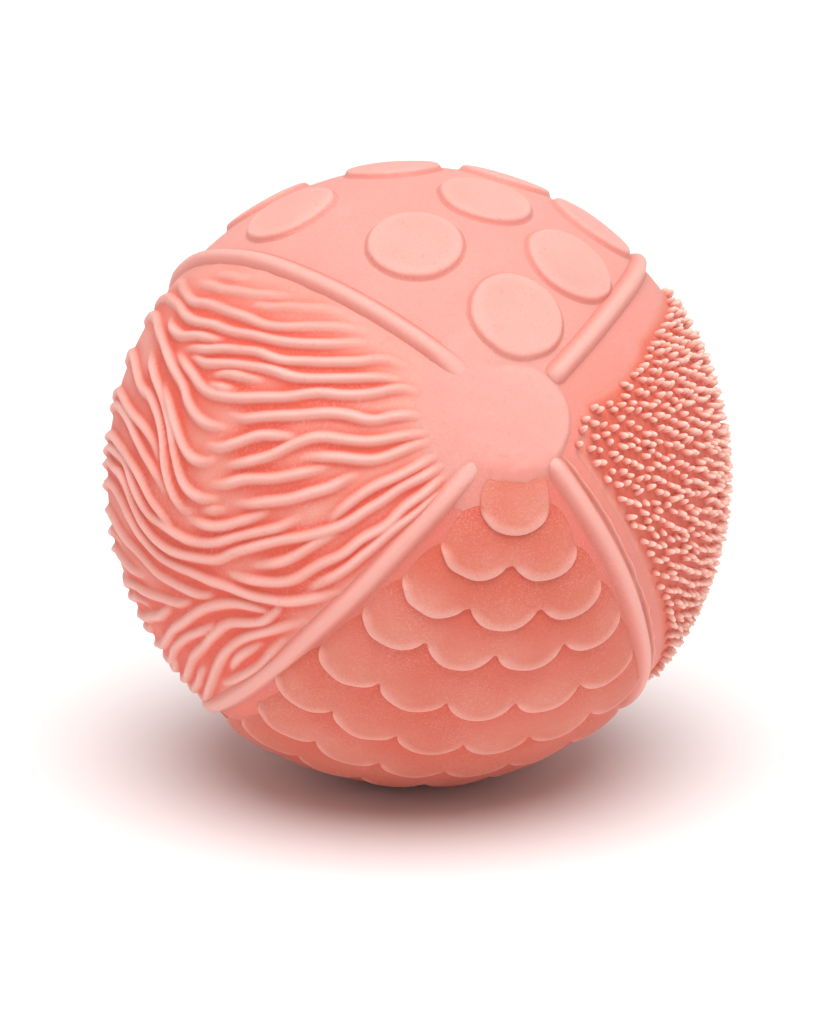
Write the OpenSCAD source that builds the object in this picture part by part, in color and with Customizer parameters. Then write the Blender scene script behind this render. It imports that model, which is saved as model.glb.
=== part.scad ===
// Hollow natural-rubber sensory ball: four textured quarters between raised ribs that meet at two pole pads.
// The ball lies as on a table: +Z is up, the origin is the ball's centre and the front pole looks to -Y.

/* [Ball] */
// Diameter of the plain wall, under all the raised textures
ball_d = 80; // [64:1:110]
// Thickness of the rubber wall
wall_t = 3; // [2:0.1:5]
// How far the pole axis leans up from level as the ball lies, in degrees
pole_lift = 25; // [0:1:90]

/* [Pole pads] */
// Width of the flat round pad at each pole
pad_d = 14; // [11:0.5:18]
// Thickness of a pad at its middle
pad_t = 0.2; // [0.1:0.05:0.8]

/* [Pour hole] */
// Diameter of the hole through the wall that the rubber is poured by
pour_hole_d = 8; // [5:0.5:10]
// Clearance all round the plug's stem in that hole
plug_clearance = 0.1; // [0:0.05:0.3]
// Width of the plug's flange inside the ball
plug_flange_d = 13; // [11:0.5:18]
// Thickness of that flange
plug_flange_t = 1.5; // [0.8:0.1:3]

/* [Ribs] */
// Width of a rib where it leaves the wall
rib_w = 2.4; // [1.6:0.1:4]
// Height of a rib over the wall
rib_h = 1.1; // [0.6:0.1:1.8]
// Where the rib between bristles and dots lies round the pole, in degrees
bristles_dots_at = 38; // [30:1:50]
// Where the rib between dots and waves lies round the pole, in degrees
dots_waves_at = 132; // [125:1:145]
// Where the rib between waves and scales lies round the pole, in degrees
waves_scales_at = 222; // [215:1:235]
// Where the rib between scales and bristles lies round the pole, in degrees
scales_bristles_at = 305; // [295:1:320]
// Clear strip between a rib and the texture beside it
rib_clearance = 0.3; // [0.1:0.05:1]

/* [Mould seam] */
// Thickness of the thin film that the mould leaves beside one rib
seam_t = 0.3; // [0.2:0.05:0.6]
// Height of that film over the wall
seam_h = 0.5; // [0.3:0.05:1]
// Distance from the middle of the rib to the film
seam_offset = 2; // [1.8:0.1:3]

/* [Dots] */
// Diameter of a flat raised dot
dot_d = 12; // [8:0.5:12.5]
// Height of a dot over the wall
dot_h = 0.9; // [0.4:0.1:1.6]
// Least clear strip between a dot and another dot, a pad or a rib
dot_clearance = 0.3; // [0.1:0.05:1]

/* [Scales] */
// Diameter of the round end of a scale
scale_w = 8.9; // [6:0.1:12]
// Step between the scales of a row
scale_pitch = 8.6; // [5.8:0.1:11.8]
// How far a scale runs on under the row before it
scale_tuck = 0.2; // [0.1:0.05:0.5]
// Height of a scale at its free edge
scale_edge_h = 1; // [0.6:0.1:1.8]
// Height of a scale at its root
scale_root_h = 0.3; // [0.1:0.05:0.6]
// Distance along the wall from the front pole to the end of the first row
first_row_end = 14.4; // [13:0.2:18]
// Step between the four rows next to the front pole, along the wall
near_row_step = 6.2; // [5:0.2:8]
// Step between all the other rows, along the wall
far_row_step = 8.3; // [7:0.1:11]

/* [Waves] */
// Step between ridges, side by side halfway round the ball
ridge_pitch = 2.25; // [2:0.05:3.5]
// Width of a ridge where it leaves the wall
ridge_w = 1.3; // [0.8:0.05:1.5]
// Width of a ridge across its crest
ridge_crest_w = 0.6; // [0.3:0.05:0.8]
// Height of a ridge over the wall
ridge_h = 0.8; // [0.4:0.1:1.4]
// How far a ridge sways to each side of its line
ridge_sway = 0.3; // [0:0.05:0.4]

/* [Bristles] */
// Step between bristles
bristle_pitch = 3.2; // [2.8:0.1:5]
// Width of a bristle at its foot
bristle_foot_w = 1.1; // [0.6:0.1:1.4]
// Width of a bristle at its tip
bristle_tip_w = 0.6; // [0.3:0.1:1]
// Height of a bristle over the wall
bristle_h = 1.6; // [0.8:0.1:3]
// Thickness of the skin that carries the bristles
bristle_bed_t = 0.3; // [0.15:0.05:0.6]
// Slit between one bed of bristles and the next
bristle_bed_slit = 0.3; // [0.1:0.05:0.6]

/* [Hidden] */
$fn = 240;
// One overrun for every cut
overrun = 1;

ball_r = ball_d / 2;
pad_r = pad_d / 2;
pole_reach = ball_r + pad_t;
// Angle from the pole axis to the edge of a pad
pad_angle = asin(pad_r / ball_r);
plug_stem_r = pour_hole_d / 2 - plug_clearance;

// A length along the wall as an angle at the ball's centre
function arc_angle(length) = length / ball_r * 180 / PI;
// The point at an angle from the front pole and an angle round it
function at(from_pole, round_pole, r) =
    r * [sin(from_pole) * cos(round_pole), sin(from_pole) * sin(round_pole), cos(from_pole)];
function unit(v) = v / norm(v);
function clamp(x) = min(1, max(0, x));
function ease(x) = x * x * (3 - 2 * x);
// A fixed scatter from -1 to 1 for a pair of counting numbers
function scatter(i, j) =
    let (x = sin(i * 127.1 + j * 311.7) * 43.7)
    2 * (x - floor(x)) - 1;
function running_sums(v) = [for (i = 0, s = 0; i < len(v); s = s + v[i], i = i + 1) s];
function flat(lists) = [for (l = lists) each l];
function numbered(name, count) = [for (i = [1:count]) str(name, i < 10 ? "_0" : "_", i)];

// Dots, each as the angle from the front pole and the angle from the middle of its quarter
dots_middle = (bristles_dots_at + dots_waves_at) / 2;
front_dot_angles = [
    [19.6, -8], [36.7, -28.5], [38.8, 20], [50.6, -6],
    [60, -34], [67, 32.5], [71.5, -16], [72, 7]
];
middle_dot_angles = [[90, -27], [90, 0], [90, 27]];
rear_dot_angles = [for (a = front_dot_angles) [180 - a[0], -a[1]]];
dot_angles = concat(front_dot_angles, middle_dot_angles, rear_dot_angles);
// Least angle from the middle of a dot to the middle of another dot, a pad and a rib
dot_angle = asin(dot_d / 2 / ball_r);
dot_to_dot = 2 * dot_angle + arc_angle(dot_clearance);
dot_to_pad = pad_angle + dot_angle + arc_angle(dot_clearance);
dot_to_rib = dot_angle + arc_angle(rib_w / 2 + dot_clearance);
// Half the step that a dot is short of another point, straight away from it
function step_off(dot, point, least) =
    let (away = dot - point, short = least - 2 * asin(norm(away) / 2))
    norm(away) > 0 && short > 0 ? unit(away) * sin(short) / 2 : [0, 0, 0];
// Half the step that a dot is short of a rib, to the side of the rib that the dots lie on
function step_off_rib(dot, round_pole, side) =
    let (across = side * [-sin(round_pole), cos(round_pole), 0], short = dot_to_rib - asin(dot * across))
    short > 0 ? across * sin(short) / 2 : [0, 0, 0];
// Moves dots apart that come too close to each other, a pad or a rib, as on a smaller ball or with larger dots
function spread_out(dots, rounds) = rounds == 0 ? dots : spread_out([
    for (dot = dots)
        let (steps = concat(
            [for (other = dots) step_off(dot, other, dot_to_dot)],
            [for (pole = [1, -1]) step_off(dot, [0, 0, pole], dot_to_pad)],
            [step_off_rib(dot, bristles_dots_at, 1), step_off_rib(dot, dots_waves_at, -1)]
        ))
        unit(dot + [for (step = steps) 1] * steps)
], rounds - 1);
dot_spread_rounds = 80;
dot_places = spread_out([for (a = dot_angles) at(a[0], dots_middle + a[1], 1)], dot_spread_rounds);

// Rows of scales, each as the angle from the front pole to its free edge
scales_middle = (waves_scales_at + scales_bristles_at) / 2;
scales_width = scales_bristles_at - waves_scales_at;
near_rows = 4;
last_row_limit = 180 - pad_angle;
near_row_ends = [for (i = [0:near_rows - 1]) arc_angle(first_row_end + i * near_row_step)];
far_rows = floor((last_row_limit - near_row_ends[near_rows - 1]) / arc_angle(far_row_step));
far_row_ends = [for (i = [1:far_rows]) near_row_ends[near_rows - 1] + i * arc_angle(far_row_step)];
row_ends = concat(near_row_ends, far_row_ends);
row_count = len(row_ends);

// Lanes that the wave ridges follow, as shares of half the quarter's width
waves_middle = (dots_waves_at + waves_scales_at) / 2;
waves_half = (waves_scales_at - dots_waves_at) / 2;
lane_step = arc_angle(ridge_pitch);
long_lanes = 2 * floor((waves_half - arc_angle(rib_w + ridge_w)) / lane_step);
short_lanes = 12;
// Angles from the front pole where the lanes are placed; on the last one they lie side by side in even steps
lane_angles = [44, 58, 72, 90];
// Share of the quarter that a lane has on each of the other three, for its share on the last one
lane_fan_shares = [
    [-2, -1.35], [-1.6, -0.92], [-1.25, -0.53], [-0.89, -0.16], [-0.27, 0.29],
    [0, 0.42], [0.22, 0.6], [0.4, 0.68], [0.8, 0.85], [1, 0.98]
];
lane_bend_shares = [
    [-2, -1.35], [-1.6, -0.94], [-1.25, -0.63], [-0.89, -0.31], [-0.27, 0.27],
    [0, 0.43], [0.22, 0.62], [0.4, 0.71], [0.8, 0.86], [1, 0.98]
];
lane_slant_shares = [
    [-2, -1.4], [-1.6, -1.05], [-1.25, -0.83], [-0.89, -0.61], [-0.27, 0.09],
    [0, 0.27], [0.22, 0.41], [0.4, 0.53], [0.8, 0.8], [1, 0.98]
];
// Slow sweep of the lanes to one side on the rear of the ball
rear_sweep_share = 0.25;
rear_sweep_angles = [96, 146];
// A ridge begins or ends where its lane has this much room to each side
ridge_room_share = 1.4;
ridge_room = ridge_w * ridge_room_share;
// First and last angle from the front pole for a ridge
ridge_span_angles = [16, 164];
ridge_sway_waves = 12;
// Angle from ring to ring along a ridge, and the least count of rings
ridge_step = 6;
ridge_least_rings = 4;
ridge_end_share = 0.4;

// Beds of bristles, as angles from the front pole
bristles_middle = (scales_bristles_at - 360 + bristles_dots_at) / 2;
bristles_half = (bristles_dots_at + 360 - scales_bristles_at) / 2;
// Bare strip round a pad, before the first bed
bed_pad_clearance = 1.7;
front_bed_angles = [pad_angle + arc_angle(bed_pad_clearance), 30, 50, 74];
bed_angles = concat(front_bed_angles, [for (i = [len(front_bed_angles) - 1:-1:0]) 180 - front_bed_angles[i]]);
bed_count = len(bed_angles) - 1;
bristle_stagger_share = 0.16;
bristle_scatter_share = 0.08;
bristle_lean_share = 0.1;

RIBS = ["rib_bristles_dots", "rib_dots_waves", "rib_waves_scales", "rib_scales_bristles"];
rib_places = [bristles_dots_at, dots_waves_at, waves_scales_at, scales_bristles_at];
DOTS = numbered("dot", len(dot_places));
ROWS = numbered("scale_row", row_count);
BEDS = numbered("bristle_bed", bed_count);

// Leans the pole axis from +Z to the way the ball lies
module as_it_lies() {
    rotate([90 - pole_lift, 0, 0])
        children();
}

// Turns a piece made at the front pole out to a place on the wall
module out_to(from_pole, round_pole) {
    rotate([0, 0, round_pole])
        rotate([0, from_pole, 0])
            children();
}

// Everything on the clockwise or the other side of a rib's clear strip
module beside_rib(round_pole, side) {
    reach = 2 * ball_r;
    clear = rib_w / 2 + rib_clearance;
    rotate([0, 0, round_pole])
        translate([-reach, side > 0 ? clear : -clear - reach, -reach])
            cube([2 * reach, reach, 2 * reach]);
}

// The hollow ball, open only at the pour hole
module rubber_wall() {
    color("salmon")
        as_it_lies()
            difference() {
                sphere(r = ball_r);
                sphere(r = ball_r - wall_t);
                cylinder(d = pour_hole_d, h = ball_r + overrun);
            }
}

// Stem through the pour hole and a flange that seats inside the wall
module pour_plug() {
    inner_r = ball_r - wall_t;
    color("darksalmon")
        as_it_lies()
            union() {
                intersection() {
                    sphere(r = ball_r);
                    translate([0, 0, inner_r - plug_flange_t])
                        cylinder(r = plug_stem_r, h = wall_t + plug_flange_t + overrun);
                }
                intersection() {
                    difference() {
                        sphere(r = inner_r);
                        sphere(r = inner_r - plug_flange_t);
                    }
                    cylinder(d = plug_flange_d, h = ball_r);
                }
            }
}

// A disc that is flat outside and follows the wall inside
module pad(end) {
    color("lightsalmon")
        as_it_lies()
            rotate([end > 0 ? 0 : 180, 0, 0])
                difference() {
                    cylinder(r = pad_r, h = pole_reach);
                    sphere(r = ball_r);
                }
}

// Round-topped bead along a meridian, from pad to pad
module rib(round_pole) {
    // Radius of the circle that passes both feet and the crest
    bead_r = (rib_w * rib_w / 4 + rib_h * rib_h) / (2 * rib_h);
    color("lightsalmon")
        as_it_lies()
            difference() {
                rotate([90, 0, round_pole])
                    rotate([0, 0, -90])
                        rotate_extrude(angle = 180)
                            difference() {
                                translate([ball_r + rib_h - bead_r, 0])
                                    circle(r = bead_r);
                                circle(r = ball_r);
                            }
                translate([0, 0, -pole_reach - overrun])
                    cylinder(r = pad_r, h = 2 * (pole_reach + overrun));
            }
}

// Thin film left along the mould's joint, on the bristles' side of a rib
module mould_seam() {
    color("salmon")
        as_it_lies()
            difference() {
                intersection() {
                    sphere(r = ball_r + seam_h);
                    rotate([0, 0, scales_bristles_at])
                        translate([0, seam_offset - seam_t / 2, -2 * ball_r])
                            cube([2 * ball_r, seam_t, 4 * ball_r]);
                }
                sphere(r = ball_r);
                translate([0, 0, -pole_reach - overrun])
                    cylinder(r = pad_r, h = 2 * (pole_reach + overrun));
            }
}

// Flat-sided disc that follows the wall
module dot(place) {
    color("pink")
        as_it_lies()
            intersection() {
                difference() {
                    sphere(r = ball_r + dot_h);
                    sphere(r = ball_r);
                }
                out_to(acos(place.z), atan2(place.y, place.x))
                    cylinder(d = dot_d, h = 2 * ball_r);
            }
}

// Depth of the notch between two scales of a row, along the wall
scale_notch = scale_w / 2 - sqrt(scale_w * scale_w - scale_pitch * scale_pitch) / 2;
function row_middle(row) = row_ends[row] - arc_angle(scale_w / 2);
// Angle from the front pole where a row comes out from under the row before
function row_root(row) = row > 0 ? row_ends[row - 1] - arc_angle(scale_notch + scale_tuck) : pad_angle / 2;
// Width of the quarter along the wall at the middles of a row's scales
function row_width(row) = ball_r * sin(row_middle(row)) * scales_width * PI / 180 - rib_w;
function row_scales(row) = max(1, min(row + 1, round(row_width(row) / scale_pitch)));

// Round ends of a row's scales, as short rods out through the skin of the ball
module row_rods(row) {
    count = row_scales(row);
    step = arc_angle(scale_pitch) / sin(row_middle(row));
    for (i = [0:count - 1])
        out_to(row_middle(row), scales_middle + (i - (count - 1) / 2) * step)
            translate([0, 0, ball_r - wall_t])
                cylinder(d = scale_w, h = 2 * wall_t);
}

// Band round the pole axis between two angles from the front pole, out through the skin of the ball
module row_band(from, to) {
    outer = ball_r + wall_t;
    inner = ball_r - wall_t;
    rotate([0, 0, waves_scales_at])
        rotate_extrude(angle = scales_width)
            polygon([
                [inner * sin(from), inner * cos(from)],
                [outer * sin(from), outer * cos(from)],
                [outer * sin(to), outer * cos(to)],
                [inner * sin(to), inner * cos(to)]
            ]);
}

// Skin over the wall that rises from a row's root to its free edge
module row_skin(row) {
    // The outer circle is moved along the pole axis, so that the skin slopes
    from = row_root(row);
    to = row_ends[row] + arc_angle(scale_tuck);
    shift = (scale_edge_h - scale_root_h) / (cos(from) - cos(to));
    edge = (ball_r + scale_edge_h) * [sin(to), cos(to)];
    reach = 2 * ball_r;
    rotate([0, 0, waves_scales_at])
        rotate_extrude(angle = scales_width)
            intersection() {
                difference() {
                    translate([0, -shift])
                        circle(r = norm(edge + [0, shift]));
                    circle(r = ball_r);
                }
                polygon([[0, 0], [reach * sin(from), reach * cos(from)], [reach * sin(to), reach * cos(to)]]);
            }
}

// One row of overlapping scales, cut where the row before lies over it
module scale_row(row) {
    color("indianred")
        as_it_lies()
            difference() {
                intersection() {
                    row_skin(row);
                    union() {
                        row_band(row_root(row) - arc_angle(scale_tuck), row_middle(row) + arc_angle(scale_tuck));
                        row_rods(row);
                    }
                    beside_rib(waves_scales_at, 1);
                    beside_rib(scales_bristles_at, -1);
                }
                if (row > 0)
                    row_rods(row - 1);
                if (row == 0)
                    cylinder(r = pad_r, h = 2 * ball_r);
            }
}

// Smooth curve through four values at the lane angles, level at both ends
function lane_curve(v, from_pole) =
    let (
        t = lane_angles,
        slopes = [0, (v[2] - v[0]) / (t[2] - t[0]), (v[3] - v[1]) / (t[3] - t[1]), 0],
        i = from_pole < t[1] ? 0 : from_pole < t[2] ? 1 : 2,
        span = t[i + 1] - t[i],
        x = clamp((from_pole - t[i]) / span)
    )
    v[i] + (v[i + 1] - v[i]) * ease(x)
    + span * x * (1 - x) * (slopes[i] * (1 - x) - slopes[i + 1] * x);
// Share of half the quarter that a lane has at an angle from the front pole
function lane_share(lane, from_pole) =
    let (
        placed = [for (shares = [lane_fan_shares, lane_bend_shares, lane_slant_shares]) lookup(lane, shares)],
        sweep = clamp((from_pole - rear_sweep_angles[0]) / (rear_sweep_angles[1] - rear_sweep_angles[0]))
    )
    lane_curve(concat(placed, lane), from_pole) - rear_sweep_share * ease(sweep) * (1 - lane * lane);
function sway(lane, from_pole) =
    arc_angle(ridge_sway) / sin(from_pole) * sin(ridge_sway_waves * from_pole + 180 * lane);
// Angle of a lane from the middle of the quarter
function lane_angle(lane, from_pole) = waves_half * lane_share(lane, from_pole) + sway(lane, from_pole);
function lane_at(number) = (number - (long_lanes - 1) / 2) * lane_step / waves_half;
// How far from the middle of the quarter a ridge may lie, so that it stays clear of the ribs
function ridge_limit(from_pole) =
    waves_half - arc_angle(rib_w / 2 + rib_clearance + ridge_w / 2) / sin(from_pole);
function is_clear(number, from_pole) =
    abs(lane_angle(lane_at(number), from_pole)) < ridge_limit(from_pole);
// Every fourth lane runs nearest to the poles, then those halfway between, then the rest
function lane_reach(number) = number % 4 == 0 ? 4 : number % 2 == 0 ? 2 : 1;
function has_room(number, from_pole) =
    let (
        reach = lane_reach(number),
        apart = lane_share(lane_at(number + reach), from_pole) - lane_share(lane_at(number - reach), from_pole)
    )
    is_clear(number, from_pole) && waves_half * apart * sin(from_pole) >= 2 * arc_angle(ridge_room);
function ridge_start(number, from_pole) =
    from_pole >= 90
        || has_room(number, from_pole) && has_room(number, min(90, from_pole + ridge_step))
            ? from_pole
            : ridge_start(number, from_pole + ridge_step / 3);
function ridge_end(number, from_pole) =
    from_pole <= 90 || has_room(number, from_pole)
        ? from_pole
        : ridge_end(number, from_pole - ridge_step / 3);

function lane_point(lane, from_pole, r) = at(from_pole, waves_middle + lane_angle(lane, from_pole), r);
// Four corners of a ridge's section, at a place along its lane
function ridge_ring(lane, from_pole, share) =
    let (
        nudge = ridge_step / 10,
        up = lane_point(lane, from_pole, 1),
        along = unit(lane_point(lane, from_pole + nudge, 1) - lane_point(lane, from_pole - nudge, 1)),
        side = cross(up, along),
        seat_r = ball_r / cos(ridge_step / 2),
        foot = side * ridge_w / 2 * share,
        crest = side * ridge_crest_w / 2 * share,
        crest_r = seat_r + ridge_h * share
    )
    [up * seat_r - foot, up * crest_r - crest, up * crest_r + crest, up * seat_r + foot];
function ridge_rings(lane, angles) =
    [
        for (i = [0:len(angles) - 1])
            ridge_ring(lane, angles[i], i == 0 || i == len(angles) - 1 ? ridge_end_share : 1)
    ];
// Places along a lane, in even steps, as far as the lane stays clear of the ribs
function ridge_angles(number, to) =
    let (
        from = ridge_start(number, ridge_span_angles[0]),
        steps = max(1, ceil((to - from) / ridge_step))
    )
    [
        for (i = [0:steps])
            let (angle = from + (to - from) * i / steps)
                if (is_clear(number, angle)) angle
    ];
// Triangles of one swept ridge whose corners start at a number
function ridge_faces(rings, first) =
    let (last = first + 4 * (rings - 1))
    concat(
        [
            for (i = [0:rings - 2], j = [0:3])
                let (
                    a = first + 4 * i + j,
                    b = first + 4 * i + (j + 1) % 4
                )
                each [[a, b, b + 4], [a, b + 4, a + 4]]
        ],
        [[first, first + 2, first + 1], [first, first + 3, first + 2]],
        [[last, last + 1, last + 2], [last, last + 2, last + 3]]
    );

// Ridges of the lanes from one number to another, each in one closed surface
module ridges(first_lane, last_lane) {
    ridge_list = [
        for (number = [first_lane:last_lane])
            let (angles = ridge_angles(number, number < 0 ? 90 : ridge_end(number, ridge_span_angles[1])))
                if (len(angles) >= ridge_least_rings) ridge_rings(lane_at(number), angles)
    ];
    firsts = running_sums([for (r = ridge_list) 4 * len(r)]);
    color("lightcoral")
        as_it_lies()
            polyhedron(
                points = flat(flat(ridge_list)),
                faces = flat([for (i = [0:len(ridge_list) - 1]) ridge_faces(len(ridge_list[i]), firsts[i])])
            );
}

// Ridges that run on round to the rear of the ball
module long_wave_ridges() {
    ridges(0, long_lanes - 1);
}

// Ridges that turn aside and stop at the rib
module short_wave_ridges() {
    ridges(-short_lanes, -1);
}

// Skin over part of the quarter with a square bristle in each cell, in one closed surface
module bristle_bed(number) {
    from = bed_angles[number] + arc_angle(bristle_bed_slit) / 2;
    to = bed_angles[number + 1] - arc_angle(bristle_bed_slit) / 2;
    // The narrow end sets how near the beds come to the ribs
    narrow = min(sin(from), sin(to));
    half = bristles_half - arc_angle(seam_offset + seam_t / 2 + rib_clearance) / narrow;
    wide = sin((from + to) / 2);
    rows = max(2, round((to - from) / arc_angle(bristle_pitch)));
    columns = max(2, round(2 * half * wide / arc_angle(bristle_pitch)));
    row_step = (to - from) / rows;
    column_step = 2 * half / columns;
    seat_r = ball_r / cos(row_step / 2) / cos(column_step / 2);
    bed_r = seat_r + bristle_bed_t;
    tip_r = ball_r + bristle_h;
    corners = (rows + 1) * (columns + 1);
    function corner(i, j, r) =
        at(from + i * row_step, bristles_middle - half + j * column_step, r);
    function stand(i, j, lean) =
        let (
            stagger = (i % 2 == 0 ? 1 : -1) * bristle_stagger_share,
            up_share = i + 0.5 + bristle_scatter_share * scatter(i, j + number),
            side_share = j + 0.5 + stagger + bristle_scatter_share * scatter(j, i + number),
            tip_up = lean * bristle_lean_share * scatter(i + number, 2 * j),
            tip_side = lean * bristle_lean_share * scatter(2 * i, j + number)
        )
        [from + (up_share + tip_up) * row_step, bristles_middle - half + (side_share + tip_side) * column_step];
    function square_at(place, w, r) =
        let (
            up = at(place[0], place[1], 1),
            away = at(place[0] + 90, place[1], 1),
            side = cross(up, away)
        )
        [
            up * r - away * w / 2 - side * w / 2,
            up * r - away * w / 2 + side * w / 2,
            up * r + away * w / 2 + side * w / 2,
            up * r + away * w / 2 - side * w / 2
        ];
    points = concat(
        [for (i = [0:rows], j = [0:columns]) corner(i, j, bed_r)],
        [for (i = [0:rows], j = [0:columns]) corner(i, j, seat_r)],
        flat([
            for (i = [0:rows - 1], j = [0:columns - 1])
                concat(
                    square_at(stand(i, j, 0), bristle_foot_w, bed_r),
                    square_at(stand(i, j, 1), bristle_tip_w, tip_r)
                )
        ])
    );
    function corner_number(i, j) = i * (columns + 1) + j;
    function cell(i, j) =
        [corner_number(i, j), corner_number(i, j + 1), corner_number(i + 1, j + 1), corner_number(i + 1, j)];
    function band(a, b) =
        [for (k = [0:3]) each [[a[k], a[(k + 1) % 4], b[(k + 1) % 4]], [a[k], b[(k + 1) % 4], b[k]]]];
    function bristle_faces(i, j) =
        let (
            first = 2 * corners + 8 * (i * columns + j),
            foot = [for (k = [0:3]) first + k],
            tip = [for (k = [0:3]) first + 4 + k]
        )
        concat(
            band(cell(i, j), foot),
            band(foot, tip),
            [[tip[0], tip[1], tip[2]], [tip[0], tip[2], tip[3]]]
        );
    function seat_faces(i, j) =
        let (c = [for (n = cell(i, j)) n + corners])
        [[c[0], c[2], c[1]], [c[0], c[3], c[2]]];
    // Edge of the skin in order round the bed
    rim = concat(
        [for (j = [0:columns - 1]) corner_number(0, j)],
        [for (i = [0:rows - 1]) corner_number(i, columns)],
        [for (j = [columns:-1:1]) corner_number(rows, j)],
        [for (i = [rows:-1:1]) corner_number(i, 0)]
    );
    rim_faces = [
        for (k = [0:len(rim) - 1])
            let (
                a = rim[k],
                b = rim[(k + 1) % len(rim)]
            )
            each [[a, a + corners, b + corners], [a, b + corners, b]]
    ];
    color("peachpuff")
        as_it_lies()
            polyhedron(
                points = points,
                faces = concat(
                    flat([for (i = [0:rows - 1], j = [0:columns - 1]) bristle_faces(i, j)]),
                    flat([for (i = [0:rows - 1], j = [0:columns - 1]) seat_faces(i, j)]),
                    rim_faces
                )
            );
}

rubber_wall();
pour_plug();
pad(1);  // front_pad
pad(-1);  // rear_pad
mould_seam();
for (i = [0:len(RIBS) - 1])
    rib(rib_places[i]);
for (i = [0:len(DOTS) - 1])
    dot(dot_places[i]);
for (i = [0:row_count - 1])
    scale_row(i);
long_wave_ridges();
short_wave_ridges();
for (i = [0:bed_count - 1])
    bristle_bed(i);
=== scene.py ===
"""Looks of a salmon rubber sensory ball: four moulded textures between ribs that meet at two pads."""
import math

import bmesh
import bpy
import numpy as np
from mathutils import Matrix, Vector


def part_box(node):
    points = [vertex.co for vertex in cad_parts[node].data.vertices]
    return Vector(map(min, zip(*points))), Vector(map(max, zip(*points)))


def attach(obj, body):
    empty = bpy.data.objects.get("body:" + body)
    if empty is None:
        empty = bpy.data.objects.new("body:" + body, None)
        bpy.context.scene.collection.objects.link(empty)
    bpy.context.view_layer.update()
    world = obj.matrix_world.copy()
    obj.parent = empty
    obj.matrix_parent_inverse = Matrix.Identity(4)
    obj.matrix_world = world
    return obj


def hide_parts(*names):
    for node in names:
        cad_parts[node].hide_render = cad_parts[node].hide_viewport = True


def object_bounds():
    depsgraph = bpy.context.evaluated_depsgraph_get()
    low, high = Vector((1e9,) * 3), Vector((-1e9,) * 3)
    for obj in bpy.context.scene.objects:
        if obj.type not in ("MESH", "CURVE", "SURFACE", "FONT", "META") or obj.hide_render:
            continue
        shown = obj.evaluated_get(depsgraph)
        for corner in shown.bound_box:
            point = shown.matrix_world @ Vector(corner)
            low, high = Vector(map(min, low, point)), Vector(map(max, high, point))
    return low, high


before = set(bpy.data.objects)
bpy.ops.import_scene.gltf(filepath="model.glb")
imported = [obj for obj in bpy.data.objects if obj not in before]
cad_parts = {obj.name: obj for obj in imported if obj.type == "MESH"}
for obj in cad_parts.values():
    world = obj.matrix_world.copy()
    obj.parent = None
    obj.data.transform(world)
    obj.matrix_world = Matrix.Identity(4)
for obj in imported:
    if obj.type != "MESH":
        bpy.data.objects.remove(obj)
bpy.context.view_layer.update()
scene = bpy.context.scene

# The ball, in millimetres and degrees
MM = 0.001
wall_low, wall_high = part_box("rubber_wall")
BALL_R = (wall_high[0] - wall_low[0]) / 2 / MM
WALL_T = 3
POLE_LIFT = 25
POUR_HOLE_D = 8
PAD_D = 14
PAD_T = 0.2
PAD_ANGLE = math.degrees(math.asin(PAD_D / 2 / BALL_R))
RIB_W = 2.4
BODY = "root"

# Where the four ribs lie round the pole, and the middles of the quarters between them
BRISTLES_DOTS_AT = 38
DOTS_WAVES_AT = 132
WAVES_SCALES_AT = 222
SCALES_BRISTLES_AT = 305
TURN = 360
DOTS_MIDDLE = (BRISTLES_DOTS_AT + DOTS_WAVES_AT) / 2
WAVES_MIDDLE = (DOTS_WAVES_AT + WAVES_SCALES_AT) / 2
SCALES_MIDDLE = (WAVES_SCALES_AT + SCALES_BRISTLES_AT) / 2

# Turns the ball from its pole axis on +Z to the way it lies
lean = math.radians(90 - POLE_LIFT)
LIE = np.array([
    [1, 0, 0],
    [0, math.cos(lean), -math.sin(lean)],
    [0, math.sin(lean), math.cos(lean)],
])

# Depths in the wall: of a skin's border and of its underside
SUNK = 0.06
UNDER = 2 * SUNK
DEEP_UNDER = 3 * SUNK


def arc_angle(length):
    """A length along the wall as an angle at the ball's centre."""
    return np.degrees(length / BALL_R)


def way(from_pole, round_pole):
    """Unit directions from the ball's centre, before the ball is laid down."""
    a = np.radians(from_pole)
    b = np.radians(round_pole)
    return np.stack([np.sin(a) * np.cos(b), np.sin(a) * np.sin(b), np.cos(a) + 0 * b], axis=-1)


def way_beside(from_pole, round_pole, along, across):
    """Directions at lengths from a place on the wall: along leads from the front pole, across round it."""
    middle = way(from_pole, round_pole)
    onward = way(from_pole + 90, round_pole)
    aside = np.cross(middle, onward)
    turn = np.hypot(along, across) / BALL_R
    share = np.sinc(turn / math.pi) / BALL_R
    return (
        np.cos(turn)[..., None] * middle
        + (share * along)[..., None] * onward
        + (share * across)[..., None] * aside
    )


RIPPLE_WAVES = 7
RIPPLE_SPREAD = (0.7, 1.4)
RIPPLE_GAIN = 1.6


def ripple(ways, size, seed):
    """Smooth scatter, mostly from -1 to 1, with swells about a size apart on the ball."""
    rng = np.random.default_rng(seed)
    waves = rng.normal(size=(RIPPLE_WAVES, 3))
    waves *= rng.uniform(*RIPPLE_SPREAD, (RIPPLE_WAVES, 1)) / np.linalg.norm(waves, axis=1, keepdims=True)
    starts = rng.uniform(0, math.tau, RIPPLE_WAVES)
    turns = ways @ waves.T * (math.tau * BALL_R / size) + starts
    return np.sin(turns).sum(axis=-1) / RIPPLE_WAVES * RIPPLE_GAIN


def uneven(ways, much, size, seed, number=0):
    """A ripple of some strength. Names such as SWELL hold its strength, its size and its seed."""
    return much * ripple(ways, size, seed + number)


def ease(x):
    """A smooth step, from 0 at 0 to 1 at 1."""
    x = np.clip(x, 0, 1)
    return x * x * (3 - 2 * x)


SWELL = (0.07, 34, 5)


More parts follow.
